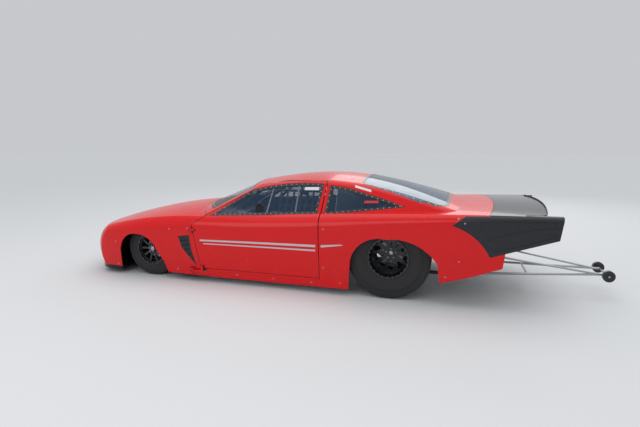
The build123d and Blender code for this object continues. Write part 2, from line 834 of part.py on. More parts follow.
hoop_top = (hoop_station, 590, 1160)
header = (-1420, 635, 1090)
dash_bar = (-872, 778, 640)
cage_paths = [
    (cage_r, sill_rear, (hoop_station, 785, 800), hoop_top, (hoop_station, 0, 1190)),
    (cage_r, (-800, 800, 116), dash_bar, header, (-1750, 602, 1140), hoop_top),
    (cross_r, header, (header[0], 0, 1120)),
    (cross_r, dash_bar, on_centre(dash_bar)),
    (cross_r, (-820, 794, 300), (hoop_station, 789, 600)),
    (cross_r, (hoop_station, 480, 1164), (rear_cross[0], 330, 690)),
    (cross_r, (-1560, 798, 440), (-1560, 640, 800), (-1560, 622, 1107)),
    (cross_r, (-1900, 792, 520), (-1900, 600, 1147)),
]
# Flat pads under the front and rear cross tubes, where a jack lifts the car
jack_pad_size = (90, 120, 18)
jack_pad_drop = 24
jack_pad_stations = (720, rear_frame_end)
with BuildPart() as jack_pads:
    for station, rail_z in zip(jack_pad_stations, (front_rail_z, rear_rail_z)):
        with Locations((front_axle_x + station, 0, rail_z - jack_pad_drop)):
            Box(*jack_pad_size, align=(Align.CENTER, Align.CENTER, Align.MIN))
chassis_frame = tube_frame(frame_paths) + jack_pads.part
roll_cage = tube_frame(cage_paths) - chassis_frame

with BuildPart() as rack_housing:
    add(tube_between((steer_arm_station, -330, rack_z), (steer_arm_station, 330, rack_z), 22))
    for side in (-1, 1):
        add(tube_between((steer_arm_station, side * 310, rack_z), (40, side * 310, front_rail_z), 12))
bore_ends = [(steer_arm_station, side * 400, rack_z) for side in (-1, 1)]
rack_bore = tube_between(*bore_ends, rack_r + bearing_gap)
rack_case = rack_housing.part - rack_bore - chassis_frame

with BuildPart() as control_arm:
    for side in (-1, 1):
        add(tube_between((side * 130, front_rail_y, front_rail_z), (0, kingpin_y, 180), 12))
    add(tube_between((0, kingpin_y, 160), (0, kingpin_y, strut_foot_z - seat_gap), 18))
    mirror(about=Plane.XZ)
control_arms = control_arm.part - chassis_frame

with BuildPart() as front_strut:
    add(tube_between((0, kingpin_y, strut_split_z + seat_gap), (0, kingpin_y, strut_top_z), 11))
    add(tube_between((0, kingpin_y, strut_split_z + 30), (0, kingpin_y, strut_top_z - 20), 30))
    add(tube_between((0, kingpin_y, strut_top_z - 20), (0, kingpin_y, strut_top_z), 36))
    add(tube_between((0, kingpin_y, strut_top_z - 12), (0, 560, 640), 14))
    mirror(about=Plane.XZ)
front_suspension = rack_case + control_arms + (front_strut.part - chassis_frame)

# Rear axle, driveline and links
axle_z = rear_size.tyre_r
housing_end = 425
with BuildPart() as axle_housing:
    add(tube_between((-wheelbase, -housing_end, axle_z), (-wheelbase, housing_end, axle_z), 44))
    add(tube_between((-wheelbase, -75, axle_z), (-wheelbase, 75, axle_z), 135))
    add(tube_between((-wheelbase, 0, axle_z), (-wheelbase + 230, 0, axle_z - 30), 70))
    add(tube_between((-wheelbase, -housing_end, axle_z), (-wheelbase, -housing_end + 20, axle_z), 66))
    add(tube_between((-wheelbase, housing_end - 20, axle_z), (-wheelbase, housing_end, axle_z), 66))
    bore_start = (-wheelbase, housing_end - 60, axle_z)
    stub_bore = tube_between(bore_start, (-wheelbase, housing_end + 80, axle_z), axle_shaft_r + bearing_gap)
    rear_caliper = brake_caliper(rear_brake, housing_end + 23.5, 87)
    add(rear_caliper)
    add(rear_caliper.mirror(Plane.XZ))
    add(stub_bore, mode=Mode.SUBTRACT)
    add(stub_bore.mirror(Plane.XZ), mode=Mode.SUBTRACT)
with BuildPart() as axle_stub:
    stub_start = (-wheelbase, housing_end - 58, axle_z)
    add(tube_between(stub_start, (-wheelbase, rear_size.side_y - 41, axle_z), axle_shaft_r))
    add(brake_disc(rear_brake))
    mirror(about=Plane.XZ)
axle_shafts = axle_stub.part

pinion_end = (-wheelbase + 230, 0, axle_z - 30)
gearbox_rear = (-1480, 0, 330)
engine_rear = -600
with BuildPart() as gearbox:
    add(tube_between((engine_rear, 0, 330), (-760, 0, 330), 190))
    add(tube_between((-760, 0, 330), gearbox_rear, 110))
driveline = gearbox.part + tube_between(gearbox_rear, pinion_end, 44) - axle_housing.part

engine_front = 20
with BuildPart() as engine:
    with BuildSketch(Plane.XY.offset(front_rail_z + rail_r)):
        with Locations(at((engine_front + engine_rear) / 2, 0)):
            Rectangle(engine_front - engine_rear, 560)
    extrude(amount=520)

with BuildPart() as link:
    for height, drop in ((axle_z - 130, 40), (axle_z + 100, -10)):
        add(tube_between((-wheelbase, 330, height), (-2420, 330, height - drop), 14))
    add(tube_between((-wheelbase, 330, axle_z - 140), (-wheelbase, 330, axle_z + 120), 24))
    add(tube_between((-2420, 330, rear_rail_z), (-2420, 330, 560), 18))
    add(tube_between((-2420, 330, rear_rail_z), (-2420, rear_rail_y, rear_rail_z), 18))
    mirror(about=Plane.XZ)
link_bars = link.part - axle_housing.part - chassis_frame
with BuildPart() as coilover:
    add(tube_between((-wheelbase - 60, 285, axle_z), (-3250, 285, 665), 32))
    mirror(about=Plane.XZ)
rear_suspension = link_bars + (coilover.part - axle_housing.part - chassis_frame)

# Wheelie bars and their wheels
bar_wheel_r = 60
bar_wheel_station = -(wheelbase + wheelie_reach - bar_wheel_r)
bar_wheel_z = 240
bar_fork = (bar_wheel_station + 60, 130, bar_wheel_z)
bar_paths = [
    (13, (rear_frame_end, 300, rear_rail_z), bar_fork, (bar_wheel_station, 130, bar_wheel_z)),
    (11, (rear_frame_end, 300, 430), bar_fork),
    (10, (-4350, 227.5, 212), (-4350, 0, 212)),
    (10, (bar_wheel_station, 130, bar_wheel_z), (bar_wheel_station, 0, bar_wheel_z)),
    (14, (rear_frame_end, 300, 440), (rear_frame_end, 300, rear_rail_z)),
]
with BuildPart() as bar_axle:
    add(tube_between((bar_wheel_station, 130, bar_wheel_z), (bar_wheel_station, 215, bar_wheel_z), 10))
    mirror(about=Plane.XZ)
wheelie_bar = tube_frame(bar_paths) - chassis_frame + bar_axle.part
with BuildPart() as bar_wheel:
    wheel_ends = ((bar_wheel_station, 165, bar_wheel_z), (bar_wheel_station, 205, bar_wheel_z))
    add(tube_between(*wheel_ends, bar_wheel_r))
    add(tube_between(*wheel_ends, 10 + bearing_gap), mode=Mode.SUBTRACT)
    mirror(about=Plane.XZ)

with BuildPart() as parachute:
    pack_front = rear_frame_end - 14 - seat_gap
    add(tube_between((pack_front, 150, rear_top_z), (pack_front - 380, 150, rear_top_z), 90))
    mirror(about=Plane.XZ)
parachutes = parachute.part - chassis_frame

# Turbochargers: a compressor scroll on the outside and a turbine inside of it, turned about one cross axis
# from an outline of Y and radius. The inlet is open, with the nut of the compressor wheel in its mouth, and
# each scroll has its round outlet pipe.
turbo_station = 430
turbo_z = 360
scroll_outline = [
    (472, 30), (478, 58), (490, 74), (504, 90), (524, 90), (536, 74), (530, 50), (548, 46), (566, 56),
    (572, 56), (572, 49), (548, 38), (522, 30), (522, 12), (534, 8), (534, 0), (430, 0), (430, 40),
    (438, 66), (456, 66), (466, 50),
]
with BuildPart() as turbo:
    turbo_centre = (front_axle_x + turbo_station, 0, turbo_z)
    turbo_axis = Axis(turbo_centre, (0, 1, 0))
    with BuildSketch(Plane(origin=turbo_centre, x_dir=(0, 1, 0), z_dir=(1, 0, 0))):
        with BuildLine():
            Polyline(scroll_outline, close=True)
        make_face()
    revolve(axis=turbo_axis)
    outlet = (turbo_station, 514, turbo_z + 62)
    outlet_end = (turbo_station - 150, 514, turbo_z + 62)
    add(tube_between(outlet, outlet_end, 26))
    add(tube_between((turbo_station - 138, 514, turbo_z + 62), outlet_end, 34))
    add(tube_between((turbo_station, 447, turbo_z - 40), (turbo_station - 120, 447, turbo_z - 90), 22))
    add(tube_between((turbo_station, 450, turbo_z), (turbo_station, 434, 497), 14))
    mirror(about=Plane.XZ)
turbochargers = turbo.part - chassis_frame

# Steering wheel on its column
column_y = 320
column_foot = (-610, column_y, 450)
wheel_centre = (-1400, column_y, 700)
column_dir = Vector(wheel_centre[0] - column_foot[0], 0, wheel_centre[2] - column_foot[2]).normalized()
wheel_x = front_axle_x + wheel_centre[0]
with BuildPart() as steering_wheel:
    rim_plane = Plane(origin=(wheel_x, column_y, wheel_centre[2]), x_dir=(0, 1, 0), z_dir=column_dir)
    with BuildSketch(Plane(origin=rim_plane.origin, x_dir=rim_plane.x_dir, z_dir=rim_plane.y_dir)):
        with Locations((145, 0)):
            Circle(13)
    revolve(axis=Axis(rim_plane.origin, column_dir))
    with BuildSketch(rim_plane.offset(-4)):
        with PolarLocations(75, 3, start_angle=90):
            Rectangle(140, 26)
        Circle(40)
    extrude(amount=8)
    column_end = 120
    with BuildSketch(rim_plane.offset(-column_end)):
        Circle(11)
    extrude(amount=column_end)
with BuildPart() as column:
    column_top = (wheel_centre[0] - 50 * column_dir.X, column_y, wheel_centre[2] - 50 * column_dir.Z)
    add(tube_between(column_foot, column_top, 20))
    with BuildSketch(rim_plane.offset(-column_end - 2)):
        Circle(11 + bearing_gap)
    extrude(amount=column_end, mode=Mode.SUBTRACT)
    add(tube_between((-872, column_y, 535), (-872, column_y, 640), 14))
steering_column = column.part - roll_cage

# The driver's seat: a bucket with raised sides, on four legs with feet
seat_y = 320
seat_foot = 95 + seat_gap
seat_w = 460
bucket_w = 360
bucket_outline = [
    (-1612, 262), (-1612, 360), (-1690, 425), (-1860, 440), (-1975, 530), (-2030, 700), (-2045, 860),
    (-2078, 965), (-2140, 1000), (-2188, 975), (-2186, 720), (-2070, 225), (-1960, 196),
]
cavity_outline = [(-1590, 304), (-1958, 234), (-2105, 960), (-2060, 1040), (-1500, 1040)]
leg_outlines = [
    [(-1640, seat_foot), (-1700, seat_foot), (-1690, 272), (-1652, 280)],
    [(-1930, seat_foot), (-2010, seat_foot), (-1995, 222), (-1942, 222)],
]
leg_y = 150
leg_t = 12
foot_size = (96, 44, 6)
seat_edge_r = 14
with BuildPart() as seat:
    with BuildSketch(Plane.XZ.offset(-seat_y - seat_w / 2)):
        with BuildLine():
            Polyline([at(*point) for point in bucket_outline], close=True)
        make_face()
    extrude(amount=seat_w)
    flanks = seat.faces().sort_by(Axis.Y)
    fillet(flanks[0].edges() + flanks[-1].edges(), seat_edge_r)
    with BuildSketch(Plane.XZ.offset(-seat_y - bucket_w / 2)):
        with BuildLine():
            Polyline([at(*point) for point in cavity_outline], close=True)
        make_face()
    extrude(amount=bucket_w, mode=Mode.SUBTRACT)
    for leg in leg_outlines:
        for side in (-1, 1):
            leg_middle = seat_y + side * leg_y
            add(side_prism(leg, leg_middle - leg_t / 2, leg_middle + leg_t / 2))
            foot_station = (leg[0][0] + leg[1][0]) / 2
            with Locations((front_axle_x + foot_station, leg_middle, seat_foot)):
                Box(*foot_size, align=(Align.CENTER, Align.CENTER, Align.MIN))

mechanics = {
    "steering_rack": steering_rack.part,
    "chassis_frame": chassis_frame,
    "roll_cage": roll_cage,
    "front_suspension": front_suspension,
    "axle_housing": axle_housing.part,
    "axle_shafts": axle_shafts,
    "driveline": driveline,
    "engine_block": engine.part,
    "rear_suspension": rear_suspension,
    "wheelie_bar": wheelie_bar,
    "wheelie_wheels": bar_wheel.part,
    "parachutes": parachutes,
    "turbochargers": turbochargers,
    "steering_wheel": steering_wheel.part,
    "steering_column": steering_column,
    "seat": seat.part,
}
write_pair("knuckle", knuckle.part)
write_pair("front_brake", brake_disc(front_brake))
for name, piece in mechanics.items():
    write(name, piece)


# Sheet metal that closes the cabin: floor, firewall and rear bulkhead, cut to the inside of the body
pan_foot = 87
pan_top = 95
firewall_station = -610
bulkhead_station = -2330
cabin_inside = inner_body + inner_cabin

with BuildPart() as pan_slab:
    with BuildSketch(Plane.XY.offset(pan_foot)):
        with Locations(at((-640 + bulkhead_station) / 2, 0)):
            Rectangle(-640 - bulkhead_station, 2 * half_span)
    extrude(amount=pan_top - pan_foot)
floor_pan = pan_slab.part & inner_body


def bulkhead_sheet(station, foot_z):
    """A sheet across the car that fills the inside of the body at one station."""
    with BuildPart() as slab:
        with BuildSketch(Plane.YZ.offset(front_axle_x + station)):
            with Locations((0, foot_z + top_z / 2)):
                Rectangle(2 * half_span, top_z)
        extrude(amount=-4)
    return slab.part & cabin_inside


firewall = bulkhead_sheet(firewall_station, 96) - chassis_frame - driveline - column.part - roll_cage
rear_bulkhead = bulkhead_sheet(bulkhead_station, 96) - chassis_frame - driveline - roll_cage
write("floor_pan", floor_pan)
write("bulkheads", firewall + rear_bulkhead)
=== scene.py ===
"""Drag racing car: looks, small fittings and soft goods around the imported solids.

Metres, +X forward, +Y to the car's left, +Z up. A station is the distance ahead of the front axle.
"""

import json
from math import atan2, cos, hypot, pi, radians, sin, tau

import bmesh
import bpy
from mathutils import Matrix, Vector
from mathutils.bvhtree import BVHTree


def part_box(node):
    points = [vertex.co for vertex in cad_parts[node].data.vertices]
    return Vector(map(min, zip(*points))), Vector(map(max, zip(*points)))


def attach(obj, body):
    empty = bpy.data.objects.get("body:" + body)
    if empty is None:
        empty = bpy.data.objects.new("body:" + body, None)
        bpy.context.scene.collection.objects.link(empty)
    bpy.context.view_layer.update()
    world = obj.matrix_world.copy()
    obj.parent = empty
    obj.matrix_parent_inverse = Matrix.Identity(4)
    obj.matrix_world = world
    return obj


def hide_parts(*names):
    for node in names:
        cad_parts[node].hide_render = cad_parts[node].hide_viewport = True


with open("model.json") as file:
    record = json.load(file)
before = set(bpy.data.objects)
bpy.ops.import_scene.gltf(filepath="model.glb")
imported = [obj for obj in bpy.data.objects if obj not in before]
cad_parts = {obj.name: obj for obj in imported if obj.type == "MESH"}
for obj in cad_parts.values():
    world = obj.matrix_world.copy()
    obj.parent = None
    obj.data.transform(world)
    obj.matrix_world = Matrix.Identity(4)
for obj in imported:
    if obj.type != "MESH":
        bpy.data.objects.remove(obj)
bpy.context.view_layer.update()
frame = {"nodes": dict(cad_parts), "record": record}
nodes = frame["nodes"]
shell_nodes = (
    "front_clip", "body_shell", "door_left", "door_right",
    "deck_spoiler", "spill_plate_left", "spill_plate_right",
)
glazing_nodes = (
    "windscreen", "rear_window", "door_window_left", "door_window_right",
    "quarter_window_left", "quarter_window_right",
)


def middle(node):
    """The middle of a node's box."""
    low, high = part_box(node)
    return Vector([(a + b) / 2 for a, b in zip(low, high)])


front_x = middle("front_tyre_left").x


def at(station):
    """The x of a station."""
    return front_x + station


def surface_of(*names):
    """The joined surface of some CAD nodes, to drop points on to."""
    verts, faces = [], []
    for name in names:
        data = nodes[name].data
        start = len(verts)
        verts.extend(nodes[name].matrix_world @ v.co for v in data.vertices)
        faces.extend([start + i for i in f.vertices] for f in data.polygons)
    return BVHTree.FromPolygons(verts, faces)


# Materials


def set_inputs(node, values):
    """Sets inputs of a shader node by name."""
    for name, value in values.items():
        node.inputs[name].default_value = value


def blank_material(name):
    """A new material, its nodes, its shader and the object's coordinates."""
    mat = bpy.data.materials.new(name)
    mat.use_nodes = True
    tree = mat.node_tree
    return mat, tree, tree.nodes["Principled BSDF"], tree.nodes.new("ShaderNodeTexCoord").outputs["Object"]


def relief(tree, height, strength, depth):
    """Turns a height into a bump of the shader's surface."""
    bump = tree.nodes.new("ShaderNodeBump")
    set_inputs(bump, {"Strength": strength, "Distance": depth})
    tree.links.new(height, bump.inputs["Height"])
    tree.links.new(bump.outputs["Normal"], tree.nodes["Principled BSDF"].inputs["Normal"])


def material(name, colour, rough, scale, amount, bump=None, **finish):
    """A material whose colour and roughness are mottled by noise of a scale and amount.

    bump is the strength and scale of a fine relief. finish may hold metallic, coat, specular and sheen.
    """
    mat, tree, shader, coords = blank_material(name)
    noise = tree.nodes.new("ShaderNodeTexNoise")
    set_inputs(noise, {"Scale": scale, "Detail": 5.0})
    tree.links.new(coords, noise.inputs["Vector"])
    mix = tree.nodes.new("ShaderNodeMix")
    mix.data_type = "RGBA"
    mix.inputs["A"].default_value = (*[c * (1 - amount) for c in colour], 1)
    mix.inputs["B"].default_value = (*[min(1, c * (1 + amount)) for c in colour], 1)
    tree.links.new(noise.outputs["Fac"], mix.inputs["Factor"])
    tree.links.new(mix.outputs["Result"], shader.inputs["Base Color"])
    spread = tree.nodes.new("ShaderNodeMapRange")
    set_inputs(spread, {"To Min": max(0.02, rough * 0.8), "To Max": min(1, rough * 1.2)})
    tree.links.new(noise.outputs["Fac"], spread.inputs["Value"])
    tree.links.new(spread.outputs["Result"], shader.inputs["Roughness"])
    set_inputs(shader, {
        "Metallic": finish.get("metallic", 0.0),
        "Coat Weight": finish.get("coat", 0.0),
        "Coat Roughness": 0.04,
        "Specular IOR Level": finish.get("specular", 0.5),
        "Sheen Weight": finish.get("sheen", 0.0),
    })
    if bump:
        strength, fineness = bump
        fine = tree.nodes.new("ShaderNodeTexNoise")
        fine.inputs["Scale"].default_value = fineness
        tree.links.new(coords, fine.inputs["Vector"])
        relief(tree, fine.outputs["Fac"], strength, 0.001)
    return mat


def woven(name, colour, thread):
    """Cloth with crossing ribs, one every 2 pi threads each way."""
    mat = material(name, colour, 0.85, 25.0, 0.2, sheen=0.4)
    tree = mat.node_tree
    coords = tree.nodes["Texture Coordinate"]
    cross = tree.nodes.new("ShaderNodeMath")
    cross.operation = "MAXIMUM"
    # A wave texture at scale 1 turns through 20 radians a metre
    wave_turn = 20
    for index, direction in enumerate(("X", "Z")):
        wave = tree.nodes.new("ShaderNodeTexWave")
        wave.bands_direction = direction
        wave.inputs["Scale"].default_value = 1 / (wave_turn * thread)
        tree.links.new(coords.outputs["Object"], wave.inputs["Vector"])
        tree.links.new(wave.outputs["Fac"], cross.inputs[index])
    relief(tree, cross.outputs["Value"], 0.35, thread)
    return mat


def clear(name, colour, alpha):
    """Clear plastic glazing: light passes straight through with a tint, and the surface shines."""
    mat, tree, shader, coords = blank_material(name)
    set_inputs(shader, {"Base Color": (*colour, 1), "Alpha": alpha})
    set_inputs(shader, {"Coat Weight": 0.6, "Coat Roughness": 0.02})
    noise = tree.nodes.new("ShaderNodeTexNoise")
    noise.inputs["Scale"].default_value = 7.0
    tree.links.new(coords, noise.inputs["Vector"])
    haze = tree.nodes.new("ShaderNodeMapRange")
    set_inputs(haze, {"To Min": 0.02, "To Max": 0.08})
    tree.links.new(noise.outputs["Fac"], haze.inputs["Value"])
    tree.links.new(haze.outputs["Result"], shader.inputs["Roughness"])
    return mat


red = material(
    "body_red", (0.68, 0.004, 0.006), 0.26, 3.0, 0.05, (0.03, 90.0), coat=0.36, specular=0.16,
)
gloss_black = material(
    "gloss_black", (0.008, 0.009, 0.012), 0.14, 5.0, 0.12, (0.02, 70.0), coat=0.3, specular=0.18,
)
inside_black = material("shell_inside", (0.020, 0.021, 0.023), 0.55, 18.0, 0.4, (0.5, 420.0))
satin_black = material(
    "moulded_black", (0.016, 0.018, 0.022), 0.36, 30.0, 0.2, (0.12, 300.0), coat=0.15, specular=0.3,
)
frame_black = material("frame_black", (0.03, 0.03, 0.033), 0.4, 40.0, 0.2, (0.1, 300.0))
aluminium = material("sheet_aluminium", (0.60, 0.61, 0.63), 0.38, 60.0, 0.08, (0.15, 300.0), metallic=1.0)
polished = material("polished_alloy", (0.78, 0.79, 0.82), 0.12, 40.0, 0.05, metallic=1.0)
steel = material("bare_steel", (0.42, 0.43, 0.45), 0.3, 50.0, 0.12, (0.1, 300.0), metallic=1.0)
wheel_black = material("wheel_black", (0.02, 0.021, 0.024), 0.28, 40.0, 0.15, metallic=0.6, coat=0.4)
rubber = material("tyre_rubber", (0.018, 0.018, 0.019), 0.75, 22.0, 0.35, (0.4, 500.0))
tread_rubber = material("tread_rubber", (0.028, 0.027, 0.027), 0.92, 30.0, 0.45, (0.9, 260.0))
silver = material("silver_stripe", (0.55, 0.57, 0.60), 0.3, 30.0, 0.06, metallic=0.7)
white = material("blank_white", (0.72, 0.73, 0.74), 0.35, 30.0, 0.04)
label_red = material("blank_red", (0.55, 0.02, 0.02), 0.35, 30.0, 0.06)
lens_cover = material("lens_cover", (0.045, 0.05, 0.06), 0.08, 16.0, 0.35, (0.1, 45.0), coat=0.6)
label_blue = material("blank_blue", (0.05, 0.16, 0.42), 0.3, 30.0, 0.08)
shadow_black = material("seam_shadow", (0.006, 0.006, 0.007), 0.9, 40.0, 0.1)
border_black = material("window_border", (0.010, 0.011, 0.013), 0.3, 40.0, 0.15, coat=0.3)
webbing = woven("webbing_black", (0.025, 0.025, 0.028), 0.0012)
webbing_red = woven("webbing_red", (0.30, 0.012, 0.014), 0.0012)
seat_cloth = woven("seat_cloth", (0.03, 0.03, 0.034), 0.0016)
pack_cloth = woven("pack_cloth", (0.035, 0.035, 0.04), 0.0022)
suede = material("grip_suede", (0.035, 0.035, 0.037), 0.95, 120.0, 0.4, (0.5, 900.0), sheen=0.6)
window_tint = clear("clear_window", (0.018, 0.055, 0.12), 0.30)
# The rear window's glass is bluer and denser than the side glass: partly its own tint, partly painted sky
# reflection
rear_tint_and_sky = clear("rear_window_tint_and_sky_reflection", (0.05, 0.13, 0.24), 0.62)

# Finish of each carried-over CAD node, by the record's material slot
finishes = {
    "body_red": red,
    "clear_window": window_tint,
    "gloss_black": gloss_black,
    "moulded_black": satin_black,
    "frame_black": frame_black,
    "aluminium": aluminium,
    "wheel_black": wheel_black,
    "tyre_rubber": rubber,
    "bare_steel": steel,
    "pack_fabric": pack_cloth,
    "seat_fabric": seat_cloth,
    "grip_suede": suede,
}
for entry in frame["record"]["subparts"]:
    node = nodes[entry["node"]]
    node.data.materials.clear()
    node.data.materials.append(finishes[entry["material_slot"]])
# The rear window takes the bluer glass, whose extra blue is painted sky reflection
nodes["rear_window"].data.materials[0] = rear_tint_and_sky

# The body panels are bare composite on the inside. A face looks inwards when its normal meets the shell
# again, or points at the line along the car's middle
middle_line_z = 0.45
least_inwards = 0.35
step_off = 0.002
shell_surface = surface_of(*shell_nodes, "floor_pan", "engine_block", "windscreen", "rear_window")
for name in shell_nodes:
    data = nodes[name].data
    world = nodes[name].matrix_world
    turn = world.to_3x3()
    data.materials.append(inside_black)
    for face in data.polygons:
        out = (turn @ face.normal).normalized()
        start = world @ face.center
        inwards = Vector((min(front_x - start.x, 0), -start.y, middle_line_z - start.z)).normalized()
        hit = shell_surface.ray_cast(start + step_off * out, out)[0]
        if hit is not None or out.dot(inwards) > least_inwards:
            face.material_index = 1


# Making pieces


def new_object(name, data):
    """An object in the scene that shows some data."""
    obj = bpy.data.objects.new(name, data)
    bpy.context.collection.objects.link(obj)
    return obj


def piece(name, mesh, mat, body, smooth=40):
    """An object from a bmesh with its finish, riding on a body; angles up to smooth are shaded round."""
    data = bpy.data.meshes.new(name)
    bmesh.ops.recalc_face_normals(mesh, faces=mesh.faces)
    mesh.to_mesh(data)
    mesh.free()
    data.materials.append(mat)
    if smooth:
        data.shade_smooth()
        data.set_sharp_from_angle(angle=radians(smooth))
    obj = new_object(name, data)
    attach(obj, body)
    return obj


def circle(centre, across, up, radius, count, first=0.0):
    """Points round a centre, in the plane of two directions, from a first angle."""
    angles = [tau * step / count + first for step in range(count)]
    return [centre + radius * (cos(angle) * across + sin(angle) * up) for angle in angles]


def ring_verts(mesh, *place):
    """New vertices round a centre; place is what circle takes."""
    return [mesh.verts.new(point) for point in circle(*place)]


def bridge(mesh, loops, closed=False):
    """Faces from each loop of vertices to the next; closed joins the last one to the first too."""
    following = loops[1:] + loops[:1] if closed else loops[1:]
    for one, two in zip(loops, following):
        for index in range(len(one)):
            follow = (index + 1) % len(one)
            mesh.faces.new((one[index], one[follow], two[follow], two[index]))


def quilt(mesh, rows):
    """Faces between open rows of vertices, with a gap where one is None."""
    for one, two in zip(rows, rows[1:]):
        for i in range(len(one) - 1):
            corners = (one[i], one[i + 1], two[i + 1], two[i])
            if None not in corners:
                mesh.faces.new(corners)


def lathe(mesh, profile, centre, turns, axis="Y"):
    """Turns a closed profile of (along, radius) points about the Y or Z axis through the centre."""
    rings = []
    for step in range(turns):
        angle = tau * step / turns
        ring = []
        for reach, radius in profile:
            side, up = radius * cos(angle), radius * sin(angle)
            offset = (side, reach, up) if axis == "Y" else (side, up, reach)
            ring.append(mesh.verts.new(Vector(centre) + Vector(offset)))
        rings.append(ring)
    bridge(mesh, rings, closed=True)


def tube(mesh, points, radius, facets):
    """A round bar along points, with closed ends."""
    points = [Vector(p) for p in points]
    rings = []
    for index, point in enumerate(points):
        ahead = points[min(index + 1, len(points) - 1)] - points[max(index - 1, 0)]
        ahead.normalize()
        across = ahead.cross(Vector((0, 0, 1)))
        if across.length < 0.1:
            across = ahead.cross(Vector((1, 0, 0)))
        across.normalize()
        rings.append(ring_verts(mesh, point, across, across.cross(ahead), radius, facets))
    mesh.faces.new(rings[0])
    bridge(mesh, rings)
    mesh.faces.new(rings[-1])


def ribbon(mesh, points, widths, thickness):
    """A flat strap along points; widths are vectors across it, from its middle to its edge."""
    rings = []
    for index, (point, half) in enumerate(zip(points, widths)):
        point, half = Vector(point), Vector(half)
        ahead = Vector(points[min(index + 1, len(points) - 1)]) - Vector(points[max(index - 1, 0)])
        face = ahead.cross(half).normalized() * thickness / 2
        corners = (point - half - face, point + half - face, point + half + face, point - half + face)
        rings.append([mesh.verts.new(corner) for corner in corners])
    bridge(mesh, rings)
    mesh.faces.new(rings[0])
    mesh.faces.new(rings[-1])


def stud(mesh, point, normal, radius, height, facets=8):
    """A fastener head: a low dome on a surface."""
    normal = Vector(normal).normalized()
    across = normal.orthogonal().normalized()
    up = normal.cross(across)
    rings = []
    for part, lift in ((1.0, 0.0), (0.92, 0.6), (0.5, 1.0)):
        centre = Vector(point) + height * lift * normal
        rings.append(ring_verts(mesh, centre, across, up, radius * part, facets))
    bridge(mesh, rings)
    mesh.faces.new(rings[-1])
    mesh.faces.new(rings[0])


# Dropping points on the skin, from places clear of the car
skin = surface_of(*shell_nodes, *glazing_nodes)
beyond_car = 2.0
above_car = 3.0


def dropped(surface, start, direction, lift):
    """Where a ray meets a surface, lifted off it, and the normal that faces the ray; else twice None."""
    hit, normal, _, _ = surface.ray_cast(Vector(start), Vector(direction))
    if hit is None:
        return None, None
    if normal.dot(Vector(direction)) > 0:
        normal = -normal
    return hit + lift * normal, normal


def left_side(station, height, lift):
    """The point of the outside skin at a station and height, seen from the left."""
    return dropped(skin, (at(station), beyond_car, height), (0, -1, 0), lift)


def right_side(station, height, lift):
    """The same, seen from the right."""
    return dropped(skin, (at(station), -beyond_car, height), (0, 1, 0), lift)


def on_top(station, across, lift):
    """The point of the outside skin at a station and distance left, seen from above."""
    return dropped(skin, (at(station), across, above_car), (0, 0, -1), lift)


def on_front(across, height, lift):
    """The point of the outside skin at a distance left and a height, seen from ahead."""
    return dropped(skin, (at(beyond_car), across, height), (-1, 0, 0), lift)


sides = (("left", 1, left_side), ("right", -1, right_side))


def along(points, pitch):
    """Points at an even pitch along a line of 2-D points."""
    out = []
    carry = 0.0
    for a, b in zip(points, points[1:]):
        run = hypot(b[0] - a[0], b[1] - a[1])
        place = carry
        while place < run:
            part = place / run
            out.append((a[0] + part * (b[0] - a[0]), a[1] + part * (b[1] - a[1])))
            place += pitch
        carry = place - run
    return out


def film(name, outline, mat, body, place, lift=0.0008, grid=0.04):
    """A thin sheet that follows the skin: outline holds 2-D points, place drops one on to the skin."""
    mesh = bmesh.new()
    mesh.faces.new([mesh.verts.new((x, y, 0)) for x, y in outline])
    for axis, normal in ((0, Vector((1, 0, 0))), (1, Vector((0, 1, 0)))):
        values = [point[axis] for point in outline]
        cut = min(values) + grid
        while cut < max(values):
            geom = mesh.verts[:] + mesh.edges[:] + mesh.faces[:]
            bmesh.ops.bisect_plane(mesh, geom=geom, plane_co=normal * cut, plane_no=normal)
            cut += grid
    bmesh.ops.triangulate(mesh, faces=[f for f in mesh.faces if len(f.verts) > 4])
    for vert in mesh.verts:
        hit, _ = place(vert.co.x, vert.co.y, lift)
        if hit is not None:
            vert.co = hit
    return piece(name, mesh, mat, body)


# Tyres: rounded carcass with moulded rings, standing for the plain solids


def rounded(points, steps):
    """A closed profile with its corners rounded: each corner is (along, radius, rounding)."""
    out = []
    count = len(points)
    for index, (x, y, fillet) in enumerate(points):
        corner = Vector((x, y))
        before = Vector(points[index - 1][:2]) - corner
        after = Vector(points[(index + 1) % count][:2]) - corner
        reach = min(fillet, before.length * 0.48, after.length * 0.48)
        if reach < 1e-5:
            out.append((x, y))
            continue
        a = corner + before.normalized() * reach
        b = corner + after.normalized() * reach
        for step in range(steps + 1):
            t = step / steps
            out.append(tuple((1 - t) ** 2 * a + 2 * t * (1 - t) * corner + t**2 * b))
    return out


